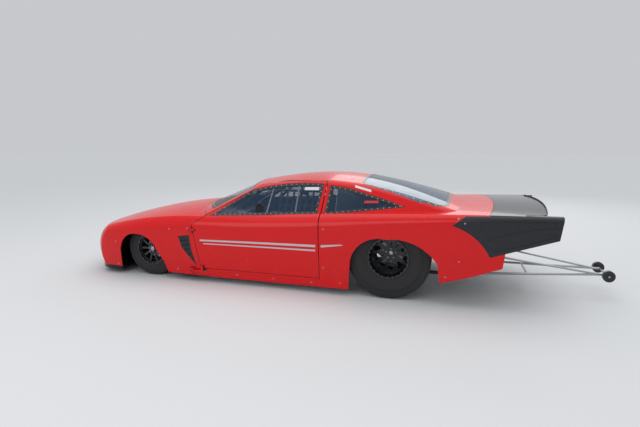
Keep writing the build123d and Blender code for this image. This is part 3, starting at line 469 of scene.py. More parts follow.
def tyre(name, body, radius, rim, bead, shoulder, grooves):
    """A racing tyre with raised sidewall rings, in the place of a plain one.

    bead and grooves are distances from its middle plane, rim is the radius at its bead.
    """
    centre = middle(name)
    low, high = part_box(name)
    half = (high[1] - low[1]) / 2
    wall = radius - rim
    casing = 0.016
    bead_width = 0.012
    outside = [
        (-bead, rim + 0.004, 0.004),
        (-half + 0.012, rim + 0.12 * wall, 0.02),
        (-half + 0.001, rim + 0.42 * wall, 0.05),
        (-half + 0.002, rim + 0.70 * wall, 0.03),
        (-half + 0.35 * shoulder, radius - 0.45 * shoulder, 0.6 * shoulder),
        (-half + shoulder * 1.2, radius - 0.0015, 0.3 * shoulder),
    ]
    groove_edge, groove_foot, groove_depth = 0.0035, 0.003, 0.005
    tread = []
    for place in grooves:
        tread += [
            (place - groove_edge, radius, 0),
            (place - groove_foot, radius - groove_depth, 0),
            (place + groove_foot, radius - groove_depth, 0),
            (place + groove_edge, radius, 0),
        ]
    far_outside = [(-x, r, f) for x, r, f in reversed(outside)]
    inside = [
        (bead - bead_width, rim + 0.002, 0.002),
        (half - casing, rim + 0.42 * wall, 0.04),
        (half - shoulder, radius - casing, 0.02),
        (-half + shoulder, radius - casing, 0.02),
        (-half + casing, rim + 0.42 * wall, 0.04),
        (-bead + bead_width, rim + 0.002, 0.002),
    ]
    mesh = bmesh.new()
    lathe(mesh, rounded(outside + tread + far_outside + inside, 6), centre, 128)
    obj = piece("tyre_" + name, mesh, rubber, body)
    obj.data.materials.append(tread_rubber)
    for face in obj.data.polygons:
        distance = hypot(face.center.x - centre.x, face.center.z - centre.z)
        if distance > radius - 0.4 * shoulder:
            face.material_index = 1
    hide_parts(name)
    # Each ring is its place up the wall, and how far that lies in from the widest place
    ring_rise, ring_foot = 0.00096, 0.004
    mesh = bmesh.new()
    for side in (-1, 1):
        for part, sunk in ((0.24, 0.0072), (0.62, 0.0012), (0.66, 0.0012)):
            y = side * (half - sunk)
            r = rim + part * wall
            ring = [
                (y - side * ring_foot, r - 0.002),
                (y + side * ring_rise, r - 0.001),
                (y + side * ring_rise, r + 0.001),
                (y - side * ring_foot, r + 0.002),
            ]
            lathe(mesh, ring, centre, 96)
    piece("tyre_rings_" + name, mesh, rubber, body)


def wheel_body(end, hand):
    """The body of a wheel and its tyre: the rear wheels share one."""
    return "front_wheel_" + hand if end == "front" else "rear_wheels"


tyres = (
    # end, radius, rim radius, half bead width, shoulder, grooves
    ("front", 0.330, 0.190, 0.036, 0.020, (-0.026, 0.0, 0.026)),
    ("rear", 0.438, 0.204, 0.196, 0.034, ()),
)
for hand, _, _ in sides:
    for end, *sizes in tyres:
        tyre("%s_tyre_%s" % (end, hand), wheel_body(end, hand), *sizes)

# Wheels: rim bolts, studs with nuts, and a centre cap
wheels = (
    # end, rim bolt circle, bolts, stud circle, how far the hub's face lies out from the wheel's middle
    ("front", 0.186, 16, 0.035, 0.030),
    ("rear", 0.198, 24, 0.053, -0.040),
)
ahead, upright = Vector((1, 0, 0)), Vector((0, 0, 1))
studs, first_stud, stud_length = 5, 0.3, 0.024
cap_reach = 0.014
for end, bolt_circle, bolts, stud_circle, face in wheels:
    for hand, side, _ in sides:
        name = "%s_wheel_%s" % (end, hand)
        body = wheel_body(end, hand)
        centre = middle(name)
        low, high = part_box(name)
        rim_face = Vector((centre.x, high[1] if side > 0 else low[1], centre.z))
        hub_face = centre + Vector((0, side * face, 0))
        out = Vector((0, side, 0))
        fasteners = bmesh.new()
        for place in circle(rim_face, ahead, upright, bolt_circle, bolts):
            stud(fasteners, place - out * 0.006, out, 0.0055, 0.008, 6)
        for place in circle(hub_face, ahead, upright, stud_circle, studs, first_stud):
            stud(fasteners, place - out * 0.008, out, 0.011, 0.022, 6)
            tube(fasteners, [place, place + out * stud_length], 0.006, 8)
        piece("fasteners_" + name, fasteners, steel, body)
        cap = bmesh.new()
        profile = [
            (0, 0.0005), (0, 0.030), (side * cap_reach * 0.6, 0.029),
            (side * cap_reach, 0.022), (side * cap_reach, 0.0005),
        ]
        lathe(cap, profile, hub_face, 48)
        piece("centre_cap_" + name, cap, steel, body)

# Side window borders with rivets. The side glass lies in a plane: its half width at a height, and how far
# it leans in for each metre up
glass_foot_w, glass_foot_z, glass_lean = 0.900, 0.700, 0.5
door_window = [
    (-1.342, 1.076), (-0.885, 0.800), (-2.125, 0.872), (-2.162, 1.166),
    (-1.960, 1.172), (-1.740, 1.157), (-1.530, 1.124),
]
quarter_window = [
    (-3.040, 0.972), (-2.230, 0.872), (-2.262, 1.152),
    (-2.450, 1.127), (-2.640, 1.080), (-2.840, 1.030),
]
border_out, border_in = 0.012, 0.016
border_foot, border_top = 0.0004, 0.0022


def inset(outline, amount):
    """A closed outline moved inwards by the amount."""
    count = len(outline)
    area = sum(outline[i - 1][0] * outline[i][1] - outline[i][0] * outline[i - 1][1] for i in range(count))
    turn = 1 if area > 0 else -1
    out = []
    for index in range(count):
        p = Vector(outline[index])
        a = (p - Vector(outline[index - 1])).normalized()
        b = (Vector(outline[(index + 1) % count]) - p).normalized()
        na = Vector((-a.y, a.x)) * turn
        nb = Vector((-b.y, b.x)) * turn
        bisector = (na + nb).normalized()
        out.append(tuple(p + bisector * amount / max(0.35, bisector.dot(na))))
    return out


def glass_plane(station, height, side, lift):
    """A point on the flat side glass, lifted off it."""
    lean = Vector((0, side, glass_lean)).normalized()
    y = side * (glass_foot_w - glass_lean * (height - glass_foot_z))
    return Vector((at(station), y, height)) + lift * lean


for label, outline in (("door", door_window), ("quarter", quarter_window)):
    outer = inset(outline, -border_out)
    inner = inset(outline, border_in)
    rivet_line = inset(outline, 0.002)
    for hand, side, _ in sides:
        body = "door_" + hand if label == "door" else "chassis"
        mesh = bmesh.new()
        corners = ((outer, border_foot), (outer, border_top), (inner, border_top), (inner, border_foot))
        loops = []
        for points, lift in corners:
            loops.append([mesh.verts.new(glass_plane(s, z, side, lift)) for s, z in points])
        bridge(mesh, loops, closed=True)
        piece("window_border_%s_%s" % (label, hand), mesh, border_black, body, 25)
        rivets = bmesh.new()
        for s, z in along(rivet_line + rivet_line[:1], 0.062):
            stud(rivets, glass_plane(s, z, side, 0.0020), (0, side, glass_lean), 0.0048, 0.0026)
        piece("window_rivets_%s_%s" % (label, hand), rivets, aluminium, body)

# Lines and labels on the skin


def arc(start, through, end, steps):
    """Points along the circle through three 2-D points, from start to end."""
    ax, ay = start
    bx, by = through
    cx, cy = end
    d = 2 * (ax * (by - cy) + bx * (cy - ay) + cx * (ay - by))
    ux = ((ax**2 + ay**2) * (by - cy) + (bx**2 + by**2) * (cy - ay) + (cx**2 + cy**2) * (ay - by)) / d
    uy = ((ax**2 + ay**2) * (cx - bx) + (bx**2 + by**2) * (ax - cx) + (cx**2 + cy**2) * (bx - ax)) / d
    radius = hypot(ax - ux, ay - uy)
    first = atan2(ay - uy, ax - ux)
    middle_turn = (atan2(by - uy, bx - ux) - first + pi) % tau - pi
    last_turn = (atan2(cy - uy, cx - ux) - first) % tau
    if middle_turn < 0:
        last_turn -= tau
    return [
        (ux + radius * cos(first + last_turn * i / steps), uy + radius * sin(first + last_turn * i / steps))
        for i in range(steps + 1)
    ]


def rib(mesh, points, width, place, lift=0.0006, ridge=0.0):
    """Adds a line on the skin to a mesh, given by 2-D points. ridge lifts its middle into a moulded rib."""
    path = along(points, 0.012) + [points[-1]]
    last = len(path) - 1
    rows = []
    for index, point in enumerate(path):
        ahead = Vector(path[min(index + 1, last)]) - Vector(path[max(index - 1, 0)])
        ahead.normalize()
        across = Vector((-ahead.y, ahead.x)) * width / 2
        taper = min(1.0, 6 * min(index, last - index) / len(path)) if ridge else 1.0
        narrow = max(taper, 0.3)
        row = []
        for part, rise in ((-1, 0.0), (-0.35, ridge * taper), (0.35, ridge * taper), (1, 0.0)):
            x = point[0] + part * across.x * narrow
            y = point[1] + part * across.y * narrow
            hit, _ = place(x, y, lift + rise)
            row.append(mesh.verts.new(hit) if hit is not None else None)
        rows.append(row)
    quilt(mesh, rows)


def seam(name, points):
    """A dark line between two panels, seen from above."""
    mesh = bmesh.new()
    rib(mesh, points, 0.004, on_top)
    piece(name, mesh, shadow_black, "chassis")


def edging(name, outline, outside, inside):
    """A black border on the skin seen from above, along a closed outline, with a row of rivets."""
    mesh = bmesh.new()
    loops = []
    for amount in (-outside, (inside - outside) / 2, inside):
        loops.append([mesh.verts.new(on_top(x, y, 0.0009)[0]) for x, y in inset(outline, amount)])
    bridge(mesh, loops)
    piece(name + "_border", mesh, border_black, "chassis")
    rivets = bmesh.new()
    for x, y in along(outline + outline[:1], 0.075):
        hit, normal = on_top(x, y, 0.0006)
        stud(rivets, hit, normal, 0.0050, 0.0026)
    piece(name + "_rivets", rivets, aluminium, "chassis")


windscreen_edge = (
    arc((-0.862, -0.745), (-0.588, 0.0), (-0.862, 0.745), 28)
    + arc((-1.318, 0.622), (-1.240, 0.0), (-1.318, -0.622), 22)
)
edging("windscreen", windscreen_edge, 0.012, 0.020)
rear_window_edge = (
    arc((-2.680, 0.625), (-2.600, 0.585), (-2.585, 0.500), 6)
    + arc((-2.581, 0.450), (-2.562, 0.0), (-2.581, -0.450), 16)
    + arc((-2.585, -0.500), (-2.600, -0.585), (-2.680, -0.625), 6)
    + [(-2.900, -0.672), (-3.220, -0.722)]
    + arc((-3.300, -0.728), (-3.450, -0.705), (-3.495, -0.600), 6)
    + arc((-3.500, -0.500), (-3.508, 0.0), (-3.500, 0.500), 16)
    + arc((-3.495, 0.600), (-3.450, 0.705), (-3.300, 0.728), 6)
    + [(-3.220, 0.722), (-2.900, 0.672)]
)
edging("rear_window", rear_window_edge, 0.010, 0.022)

seam("cowl_seam", arc((-0.800, -0.860), (-0.530, 0.0), (-0.800, 0.860), 44))
seam("deck_seam", arc((-3.889, -0.870), (-3.970, 0.0), (-3.889, 0.870), 44))

# Fasteners that hold the panels: slotted quarter turns. The first three rows are at stations and heights,
# the last three at stations and distances left
fender_turns = [(-0.42, 0.128), (-0.70, 0.125), (-0.585, 0.640), (-0.34, 0.62), (0.44, 0.13), (0.44, 0.42)]
sill_turns = [
    (-0.780, 0.125), (-1.20, 0.120), (-1.65, 0.118), (-2.10, 0.118),
    (-2.42, 0.14), (-2.235, 0.30), (-2.235, 0.72),
]
tail_turns = [(-3.62, 0.48), (-3.93, 0.36), (-3.50, 0.31), (-3.60, 0.90), (-3.66, 0.86)]
deck_turns = along(arc((-3.859, -0.84), (-3.940, 0.0), (-3.859, 0.84), 40), 0.21)
cowl_turns = along(arc((-0.765, -0.78), (-0.495, 0.0), (-0.765, 0.78), 40), 0.26)
bonnet_turns = [(-0.30, 0.62), (-0.30, -0.62), (0.30, 0.58), (0.30, -0.58)]
small_turn_r, bonnet_turn_r = 0.0085, 0.012
turn_heads = bmesh.new()
slot_shade_strips = bmesh.new()


def quarter_turn(place, x, y, radius):
    """A round head on the skin at a 2-D point, with a near-black strip across it that is painted shade of
    its slot.
    """
    hit, normal = place(x, y, 0.0002)
    if hit is None:
        return
    stud(turn_heads, hit, normal, radius, 0.0022, 14)
    across = normal.orthogonal().normalized() * radius * 0.6
    lift = normal * 0.0024
    slot_half = across.cross(normal).normalized() * 0.0011
    ribbon(slot_shade_strips, [hit - across + lift, hit + across + lift], [slot_half] * 2, 0.0008)


for _, _, place in sides:
    for x, z in fender_turns + sill_turns + tail_turns:
        quarter_turn(place, x, z, small_turn_r)
for x, y in deck_turns + cowl_turns:
    quarter_turn(on_top, x, y, small_turn_r)
for x, y in bonnet_turns:
    quarter_turn(on_top, x, y, bonnet_turn_r)
piece("quarter_turns", turn_heads, steel, "chassis")
# The near-black strips across the heads are painted shade of the slots
piece("quarter_turn_slot_shade", slot_shade_strips, shadow_black, "chassis", 0)

# Plain silver stripes and blank labels
for hand, _, place in sides:
    door, rest = "door_" + hand, "chassis"
    stripes = (
        ("upper", [(-0.745, 0.515), (-0.745, 0.497), (-2.150, 0.520), (-2.150, 0.545)], door),
        ("lower", [(-0.790, 0.474), (-0.790, 0.463), (-2.150, 0.474), (-2.150, 0.492)], door),
        ("tail", [(-2.212, 0.546), (-2.212, 0.521), (-2.460, 0.560), (-2.430, 0.568)], rest),
    )
    for label, outline, rider in stripes:
        film("stripe_%s_%s" % (label, hand), outline, silver, rider, place)
    labels = (
        ("nose_upper", [(0.800, 0.262), (0.905, 0.262), (0.905, 0.300), (0.800, 0.300)], white, rest),
        ("nose_lower", [(0.785, 0.188), (0.895, 0.188), (0.895, 0.238), (0.785, 0.238)], label_blue, rest),
        ("quarter_glass", [(-2.640, 0.990), (-2.790, 0.998), (-2.790, 1.022), (-2.640, 1.016)],
         label_red, rest),
        ("door_glass", [(-1.960, 1.105), (-2.120, 1.108), (-2.120, 1.140), (-1.960, 1.136)], white, door),
        ("sail", [(-2.520, 1.172), (-2.700, 1.128), (-2.706, 1.104), (-2.526, 1.148)], white, rest),
    )
    for label, outline, mat, rider in labels:
        film("label_%s_%s" % (label, hand), outline, mat, rider, place, 0.0016, 0.02)

# Vents in the door windows: a round opening with a black rubber lip, closed by a near-black disc that is
# painted shade of the hole. The lip is a table of radius and lift
vent_station, vent_z, vent_r = -1.455, 0.898, 0.037
vent_lip = (
    (vent_r + 0.008, 0.0), (vent_r + 0.007, 0.006), (vent_r, 0.006),
    (vent_r - 0.006, 0.0), (0.004, -0.0005),
)
for hand, side, _ in sides:
    normal = Vector((0, side, glass_lean)).normalized()
    centre = glass_plane(vent_station, vent_z, side, 0.001)
    up = normal.cross(ahead)
    mesh = bmesh.new()
    rings = [ring_verts(mesh, centre + lift * normal, ahead, up, radius, 32) for radius, lift in vent_lip]
    bridge(mesh, rings)
    mesh.faces.new(rings[-1])
    piece("window_vent_" + hand, mesh, shadow_black, "door_" + hand)

# Braces inside the door windows: bright straps from a low to a high end, each a station and a height
brace_ends = (
    ((-1.545, 0.846), (-1.585, 1.118)),
    ((-1.884, 0.872), (-1.886, 1.156)),
)
brace_lift = -0.0078
brace_steps = 8
for hand, side, _ in sides:
    braces = bmesh.new()
    brace_bolts = bmesh.new()
    for low_end, high_end in brace_ends:
        low = glass_plane(*low_end, side, brace_lift)
        high = glass_plane(*high_end, side, brace_lift)
        points = [low.lerp(high, step / brace_steps) for step in range(brace_steps + 1)]
        ribbon(braces, points, [(0.008, 0, 0)] * len(points), 0.0024)
        for part in (0.04, 0.96):
            bolt = low.lerp(high, part) + 0.001 * Vector((0, -side, 0))
            stud(brace_bolts, bolt, (0, -side, -glass_lean), 0.005, 0.003)
    piece("window_braces_" + hand, braces, polished, "door_" + hand, 60)
    piece("window_brace_bolts_" + hand, brace_bolts, steel, "door_" + hand)

# Seat pads
seat_y = middle("seat").y


def inflate(obj, mat, voxel, cap):
    """Remeshes a closed form and blows it up as cloth; no point moves further than the cap."""
    remesh = obj.modifiers.new("remesh", "REMESH")
    remesh.mode = "VOXEL"
    remesh.voxel_size = voxel
    graph = bpy.context.evaluated_depsgraph_get()
    even = bpy.data.meshes.new_from_object(obj.evaluated_get(graph))
    obj.modifiers.clear()
    obj.data = even
    even.materials.clear()
    even.materials.append(mat)
    start = [v.co.copy() for v in even.vertices]
    stiffness = 25
    last_frame = 20
    cloth = obj.modifiers.new("cloth", "CLOTH")
    cloth.settings.use_pressure = True
    cloth.settings.uniform_pressure_force = 4.0
    cloth.settings.effector_weights.gravity = 0
    cloth.settings.tension_stiffness = stiffness
    cloth.settings.compression_stiffness = stiffness
    cloth.settings.quality = 4
    cloth.point_cache.frame_start = 1
    cloth.point_cache.frame_end = last_frame
    for frame_number in range(1, last_frame + 1):
        bpy.context.scene.frame_set(frame_number)
    shape = obj.evaluated_get(bpy.context.evaluated_depsgraph_get()).data
    moved = [v.co.copy() for v in shape.vertices]
    obj.modifiers.clear()
    bpy.context.scene.frame_set(1)
    for vert, before, after in zip(even.vertices, start, moved):
        step = after - before
        vert.co = before + step * min(1.0, cap / max(step.length, 1e-9))
    even.shade_smooth()


def pad(name, middle_point, size, lean, channels):
    """A crowned cushion with sewn channels across it. size is its length, width and thickness."""
    length, width, thick = size
    mesh = bmesh.new()
    columns, rows = 36, 30
    tops, bottoms = [], []
    for i in range(columns + 1):
        u = 2 * i / columns - 1
        top_row, bottom_row = [], []
        for j in range(rows + 1):
            v = 2 * j / rows - 1
            crown = (1 - abs(u) ** 5) ** 0.5 * (1 - abs(v) ** 5) ** 0.5
            x = u * length / 2 * (1 - 0.02 * (1 - v * v))
            y = v * width / 2 * (1 - 0.03 * (1 - u * u))
            top_row.append(mesh.verts.new((x, y, thick * (0.32 + 0.55 * crown))))
            bottom_row.append(mesh.verts.new((x, y, thick * 0.12 * (1 - crown))))
        tops.append(top_row)
        bottoms.append(bottom_row)
    for i in range(columns):
        for j in range(rows):
            mesh.faces.new((tops[i][j], tops[i + 1][j], tops[i + 1][j + 1], tops[i][j + 1]))
            mesh.faces.new((bottoms[i][j], bottoms[i][j + 1], bottoms[i + 1][j + 1], bottoms[i + 1][j]))
    for i in range(columns):
        for j in (0, rows):
            mesh.faces.new((tops[i][j], tops[i + 1][j], bottoms[i + 1][j], bottoms[i][j]))
    for j in range(rows):
        for i in (0, columns):
            mesh.faces.new((tops[i][j], tops[i][j + 1], bottoms[i][j + 1], bottoms[i][j]))
    obj = piece(name, mesh, seat_cloth, "chassis", 60)
    inflate(obj, seat_cloth, 0.0055, 0.007)
    channel_depth, channel_half = 0.009, 0.011
    for vert in obj.data.vertices:
        if vert.co.z > thick * 0.4:
            for c in range(1, channels):
                gap = abs(2 * vert.co.x / length - (2 * c / channels - 1)) * length / 2
                vert.co.z -= channel_depth * max(0.0, 1 - (gap / channel_half) ** 2)
        vert.co.z = max(vert.co.z, 0.0)
    obj.data.transform(Matrix.Translation(middle_point) @ Matrix.Rotation(lean, 4, "Y"))


# The seat's floor falls from its front to the bend, and its back leans from there to the top
seat_front, seat_bend, seat_top = (-1.620, 0.302), (-1.958, 0.234), (-2.105, 0.960)
floor_lean = atan2(seat_front[1] - seat_bend[1], seat_front[0] - seat_bend[0])
back_lean = atan2(seat_top[1] - seat_bend[1], seat_bend[0] - seat_top[0])
pad("seat_base_pad", (at(-1.775), seat_y, 0.272), (0.27, 0.33, 0.045), -floor_lean, 4)
pad("seat_back_pad", (at(-2.018), seat_y, 0.560), (0.50, 0.33, 0.045), back_lean, 6)
pad("head_pad", (at(-2.094), seat_y, 0.905), (0.12, 0.26, 0.050), back_lean, 1)

# Harness: each belt's points are station, distance from the seat's middle and height
shoulder_belt = (
    (-2.235, 0.050, 0.985), (-2.150, 0.062, 0.972), (-2.100, 0.070, 0.905), (-2.060, 0.074, 0.843),
    (-2.010, 0.080, 0.795), (-1.962, 0.080, 0.620), (-1.922, 0.062, 0.460), (-1.866, 0.035, 0.375),
)
lap_belt = (
    (-1.955, 0.172, 0.330), (-1.920, 0.150, 0.352), (-1.880, 0.090, 0.368), (-1.860, 0.035, 0.372),
)
belt_thickness = 0.004
harness = bmesh.new()
for side in (-1, 1):
    points = [(at(x), seat_y + side * y, z) for x, y, z in shoulder_belt]
    widths = [(0, 0.032 - 0.001 * i, 0) for i in range(len(points))]
    ribbon(harness, points, widths, belt_thickness)
    points = [(at(x), seat_y + side * y, z) for x, y, z in lap_belt]
    ribbon(harness, points, [(0.006, 0.004, 0.030)] * len(points), belt_thickness)
piece("harness", harness, webbing_red, "chassis", 60)
buckle = bmesh.new()
profile = [(-0.010, 0.0005), (-0.010, 0.036), (0.004, 0.036), (0.010, 0.030), (0.010, 0.0005)]
lathe(buckle, profile, (at(-1.862), seat_y, 0.384), 32, "Z")
piece("harness_buckle", buckle, polished, "chassis")

# Window net: upright and level webbing between two bars, bowed inwards a little
net_front, net_rear, net_low, net_high = -1.66, -2.20, 0.86, 1.085
net_run, net_rise = net_rear - net_front, net_high - net_low
net_inside = 0.075
net_bow = 0.006
web_thickness = 0.0022
uprights, levels = 8, 4
net = bmesh.new()


def net_point(station, height, out=0.0):
    """A point of the net's plane behind the left window, moved out by a little."""
    y = glass_foot_w - net_inside - glass_lean * (height - glass_foot_z)
    return Vector((at(station), y, height)) + Vector((0, out, 0))


for i in range(uprights):
    station = net_front + net_run * i / (uprights - 1)
    steps = 6
    points = []
    for j in range(steps + 1):
        points.append(net_point(station, net_low + net_rise * j / steps, -net_bow * sin(pi * j / steps)))
    ribbon(net, points, [(0.011, 0, 0)] * len(points), web_thickness)
for j in range(levels):
    z = net_low + net_rise * j / (levels - 1)
    out = web_thickness - net_bow * sin(pi * j / (levels - 1))
    steps = 10
    points = [net_point(net_front + net_run * i / steps, z, out) for i in range(steps + 1)]
    ribbon(net, points, [(0, -0.005, 0.0098)] * len(points), web_thickness)
window_net = piece("window_net", net, webbing, "chassis", 60)
net_bars = bmesh.new()
for z in (net_low - 0.012, net_high + 0.012):
    tube(net_bars, [net_point(net_front + 0.10, z), net_point(-2.245, z)], 0.005, 10)
piece("net_bars", net_bars, steel, "chassis")

# Swaged beads and edge rivets under the floor pan
under_floor = surface_of("floor_pan")
bead_stations = (-0.98, -1.00, -1.20, -1.40, -1.60, -1.80, -1.98, -2.00)
rivet_start, rivet_pitch, rivet_y = -0.90, 0.095, 0.60
beads = bmesh.new()
floor_rivets = bmesh.new()


def below_floor(station, y):
    """The point of the floor pan's underside at a station and distance left."""
    return under_floor.ray_cast(Vector((at(station), y, -1)), Vector((0, 0, 1)))[0]


for y in (-0.44, -0.22, 0.0, 0.22, 0.44):
    points = []
    for station in bead_stations:
        sunk = 0.004 if station in (bead_stations[0], bead_stations[-1]) else 0.001
        points.append(below_floor(station, y) + Vector((0, 0, sunk)))
    tube(beads, points, 0.005, 10)
for side in (-1, 1):
    for step in range(13):
        hit = below_floor(rivet_start - rivet_pitch * step, side * rivet_y)
        if hit is not None:
            stud(floor_rivets, hit, (0, 0, -1), 0.004, 0.002)
piece("floor_beads", beads, aluminium, "chassis")
piece("floor_rivets", floor_rivets, steel, "chassis")

# Steering wheel hub: two stepped discs and a ring of screws on the joint's axis
joints = frame["record"]["behaviour"]["joints"]
wheel_joint = next(joint for joint in joints if joint["name"] == "steering_wheel_turn")
hub_place = Vector(wheel_joint["pos_m"])
hub_axis = Vector(wheel_joint["axis"]).normalized()
across = hub_axis.orthogonal().normalized()
up = hub_axis.cross(across)
hub_chamfer = 0.002
hub = bmesh.new()
for radius, low, high in ((0.030, 0.004, 0.016), (0.017, 0.016, 0.026)):
    rings = []
    for lift, scale in ((low, 1.0), (high - hub_chamfer, 1.0), (high, 0.92)):
        rings.append(ring_verts(hub, hub_place + lift * hub_axis, across, up, radius * scale, 28))
    bridge(hub, rings)
    hub.faces.new(rings[-1])
for place in circle(hub_place + 0.004 * hub_axis, across, up, 0.036, 6):
    stud(hub, place, hub_axis, 0.004, 0.004, 6)
piece("wheel_hub", hub, polished, "steering_wheel")

# Dash panel, whose ends lie a little further ahead, with a display
dash_profile = [
    (-0.900, 0.585), (-0.905, 0.640), (-0.900, 0.695),
    (-0.885, 0.716), (-0.855, 0.728), (-0.790, 0.738),
]
dash_half, dash_bow, dash_steps = 0.68, 0.03, 24
dash = bmesh.new()
rows = []
for j in range(dash_steps + 1):
    y = dash_half * (2 * j / dash_steps - 1)
    bow = dash_bow * (y / dash_half) ** 2
    rows.append([dash.verts.new((at(x + bow), y, z)) for x, z in dash_profile])
quilt(dash, rows)
dash_obj = piece("dash_panel", dash, satin_black, "chassis", 50)
thicken = dash_obj.modifiers.new("thickness", "SOLIDIFY")
thicken.thickness = 0.003
screen_z = 0.650
screen_outline = [(-0.085, -0.030), (0.085, -0.030), (0.085, 0.034), (-0.085, 0.034)]
screen = bmesh.new()
back = [screen.verts.new((at(-0.903), seat_y + a, screen_z + b)) for a, b in screen_outline]
front = [screen.verts.new((at(-0.925), seat_y + a * 0.96, screen_z + b * 0.94)) for a, b in screen_outline]
bridge(screen, [back, front])
screen.faces.new(front)
piece("dash_display", screen, gloss_black, "chassis", 20)

# Parachute packs: stuffed cloth bags with straps, in place of the plain rolls
pack_low, pack_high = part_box("parachutes")
pack_r = (pack_high[2] - pack_low[2]) / 2
pack_y = (pack_high[1] - pack_low[1]) / 2 - pack_r
pack_z = (pack_high[2] + pack_low[2]) / 2
pack_length = pack_high[0] - pack_low[0]
bag_steps, pack_turns = 34, 36
bag_inside = 0.010
squeeze_depth, squeeze_reach = 0.008, 0.06
pleats, pleat_depth = 11, 0.0028
dent_half, dent_depth, bag_sag = 0.055, 0.004, 0.004
strap_places = (0.30, 0.62)
strap_inside, strap_drop = 0.008, 0.003


def pack_square(angle):
    """How far a pack's soft square cross-section reaches at an angle, against a circle."""
    power = 3.2
    return min(1.0, 0.9 * (abs(cos(angle)) ** power + abs(sin(angle)) ** power) ** (-1 / power))


def pack_ring(x, y, z, radius, swell=1.0):
    """Points round a pack's soft square cross-section."""
    points = []
    for k in range(pack_turns):
        angle = tau * k / pack_turns
        reach = radius * pack_square(angle) * swell
        points.append((x, y + reach * cos(angle), z + reach * sin(angle)))
    return points


def shape_bag(obj, centre):
    """Draws a bag in at its straps, pleats it, lets its middle sag and presses a square into its rear."""
    for vert in obj.data.vertices:
        out = Vector((0, vert.co.y, vert.co.z)) - centre
        t = (pack_high[0] - vert.co.x) / pack_length
        squeeze = 0
        for place in strap_places:
            squeeze += squeeze_depth * max(0.0, 1 - ((t - place) / squeeze_reach) ** 2)
        pleat = pleat_depth * sin(pleats * atan2(out.z, out.y) + 9 * t) * (0.4 + 6 * squeeze / 0.05)
        reach = max(out.length, 1e-6)
        in_dent = t > 0.93 and abs(out.y) < dent_half and abs(out.z) < dent_half
        vert.co.y -= (squeeze + pleat) * out.y / reach
        vert.co.z -= (squeeze + pleat) * out.z / reach + bag_sag * sin(pi * min(max(t, 0), 1))
        vert.co.x += dent_depth if in_dent else 0.0


straps = bmesh.new()
ties = bmesh.new()
for hand, side, _ in sides:
    middle_y = side * pack_y
    mesh = bmesh.new()
    rings = []
    for i in range(bag_steps + 1):
        t = i / bag_steps
        x = pack_high[0] - 0.004 - t * (pack_length - 0.010)
        swell = 0.55 + 0.45 * min(1.0, (min(t, 1 - t) / 0.10) ** 0.5)
        points = pack_ring(x, middle_y, pack_z, pack_r - bag_inside, swell)
        rings.append([mesh.verts.new(point) for point in points])
    bridge(mesh, rings)
    mesh.faces.new(rings[0])
    mesh.faces.new(rings[-1])
    obj = piece("parachute_pack_" + hand, mesh, pack_cloth, "chassis", 70)
    inflate(obj, pack_cloth, 0.0065, 0.010)
    shape_bag(obj, Vector((0, middle_y, pack_z)))
    if hand == "left":
        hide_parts("parachutes")
    for place in strap_places:
        x = pack_high[0] - place * pack_length
        points = pack_ring(x, middle_y, pack_z - strap_drop, pack_r - strap_inside)
        points.append(points[0])
        ribbon(straps, points, [(0.014, 0, 0)] * len(points), 0.003)
    for lean in (-1, 1):
        foot = Vector((pack_low[0] + 0.03, middle_y + lean * 0.03, pack_z + 0.062))
        bend = foot + Vector((-0.012, 0, 0.012))
        tip = foot + Vector((-0.006, lean * 0.012, -0.03))
        tube(ties, [foot, bend, tip], 0.003, 8)
piece("parachute_straps", straps, webbing, "chassis", 60)
piece("parachute_ties", ties, webbing, "chassis", 60)

# Nose: lens covers at the corners and the air intake's mesh, by distances left and heights
lens = [
    (0.405, 0.470), (0.560, 0.482), (0.715, 0.476), (0.755, 0.500),
    (0.735, 0.520), (0.560, 0.540), (0.440, 0.522),
]
mouth = [
    (-0.46, 0.225), (0.46, 0.225), (0.50, 0.255), (0.47, 0.330),
    (0.42, 0.352), (-0.42, 0.352), (-0.47, 0.330), (-0.50, 0.255),
]
wire_r, wire_lift = 0.0016, 0.0035
for hand, side, _ in sides:
    outline = [(side * y, z) for y, z in lens]
    film("nose_lens_" + hand, outline, lens_cover, "chassis", on_front, 0.0018, 0.02)
film("intake_shadow", mouth, shadow_black, "chassis", on_front, 0.0012, 0.02)
mesh_wires = bmesh.new()
for column in range(31):
    y = -0.45 + 0.03 * column
    points = [on_front(y, z, wire_lift)[0] for z in (0.232, 0.26, 0.29, 0.32, 0.345)]
    tube(mesh_wires, points, wire_r, 5)
for row in range(5):
    z = 0.244 + 0.023 * row
    points = [on_front(-0.475 + 0.05 * column, z, wire_lift)[0] for column in range(20)]
    tube(mesh_wires, points, wire_r, 5)
piece("intake_mesh", mesh_wires, steel, "chassis")
rim_points = [on_front(y, z, 0.003)[0] for y, z in along(mouth + mouth[:1], 0.03)]
rim_mesh = bmesh.new()
tube(rim_mesh, rim_points + rim_points[:1], 0.0045, 8)
piece("intake_rim", rim_mesh, satin_black, "chassis")

# Louvre lips over the slots of the fender vents
vent_skin = surface_of("fender_vents")


def on_vent(station, height, side, lift):
    """The point of one side's fender vent at a station and height."""
    hit, normal = dropped(vent_skin, (at(station), side * beyond_car, height), (0, -side, 0), lift)
    if hit is None or hit.y * side < 0:
        return None, None
    return hit, normal


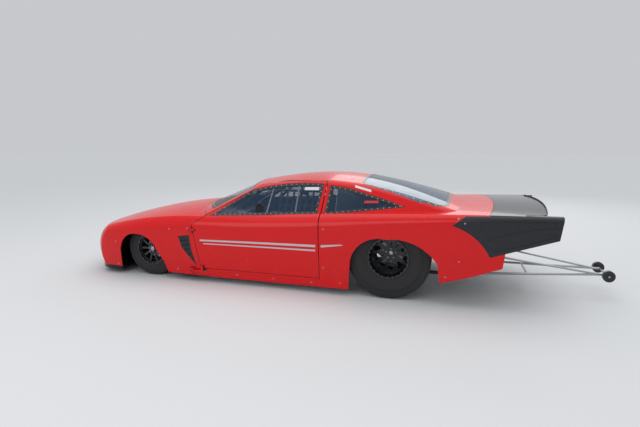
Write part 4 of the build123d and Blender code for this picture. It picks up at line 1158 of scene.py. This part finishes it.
# Each lip is its height, and the stations where it starts and ends
vent_lips = (
    (0.517, -0.475, -0.590),
    (0.457, -0.497, -0.600),
    (0.397, -0.522, -0.610),
    (0.339, -0.562, -0.618),
    (0.285, -0.598, -0.632),
)
lip_width, lip_ridge, lip_fall = 0.014, 0.007, 0.004
for hand, side, _ in sides:
    lips = bmesh.new()
    for z, front, rear in vent_lips:
        line = [(front, z), (rear, z - lip_fall)]
        rib(lips, line, lip_width, lambda x, y, lift: on_vent(x, y, side, lift), 0.0004, lip_ridge)
    piece("vent_lips_" + hand, lips, satin_black, "chassis")

# Stage: camera at the photograph's place, pale floor and soft light
photo_width = 640
focal_px = 444.9
sensor = 36.0
camera_data = bpy.data.cameras.new("camera")
camera_data.sensor_width = sensor
camera_data.lens = sensor * focal_px / photo_width
camera = new_object("camera", camera_data)
camera.location = (at(-3.526), 5.363, 1.631)
yaw, pitch = radians(16.60), radians(9.12)
view = Vector((cos(pitch) * sin(yaw), -cos(pitch) * cos(yaw), -sin(pitch)))
camera.rotation_euler = view.to_track_quat("-Z", "Y").to_euler()
bpy.context.scene.camera = camera

floor_mesh = bmesh.new()
bmesh.ops.create_grid(floor_mesh, x_segments=2, y_segments=2, size=60)
floor_data = bpy.data.meshes.new("floor")
floor_mesh.to_mesh(floor_data)
floor_mesh.free()
floor = new_object("floor", floor_data)
floor_data.materials.append(material("floor_pale", (0.66, 0.67, 0.68), 0.7, 0.6, 0.01))

sun = bpy.data.lights.new("soft_sky", "SUN")
sun.energy = 0.9
sun.angle = radians(70)
sun_object = new_object("soft_sky", sun)
sun_object.rotation_euler = (radians(8), radians(-6), 0)


def lamp(name, place, target, size, power):
    """A soft rectangular lamp at a place, turned to a target."""
    data = bpy.data.lights.new(name, "AREA")
    data.shape = "RECTANGLE"
    data.size, data.size_y = size
    data.energy = power
    obj = new_object(name, data)
    obj.location = place
    obj.rotation_euler = (Vector(target) - Vector(place)).to_track_quat("-Z", "Y").to_euler()


lamp("overhead", (0.5, 0.0, 6.0), (0, 0, 0.5), (10.0, 7.0), 105)
lamp("left", (2.5, 8.0, 5.0), (0, 0, 0.6), (8.0, 3.0), 110)
lamp("right", (-1.5, -8.0, 5.0), (0, 0, 0.6), (8.0, 3.0), 110)
world = bpy.data.worlds.new("studio")
bpy.context.scene.world = world
world.use_nodes = True
background = world.node_tree.nodes["Background"]
background.inputs["Color"].default_value = (0.86, 0.88, 0.91, 1)
background.inputs["Strength"].default_value = 0.66
bpy.context.scene.view_settings.view_transform = "Standard"
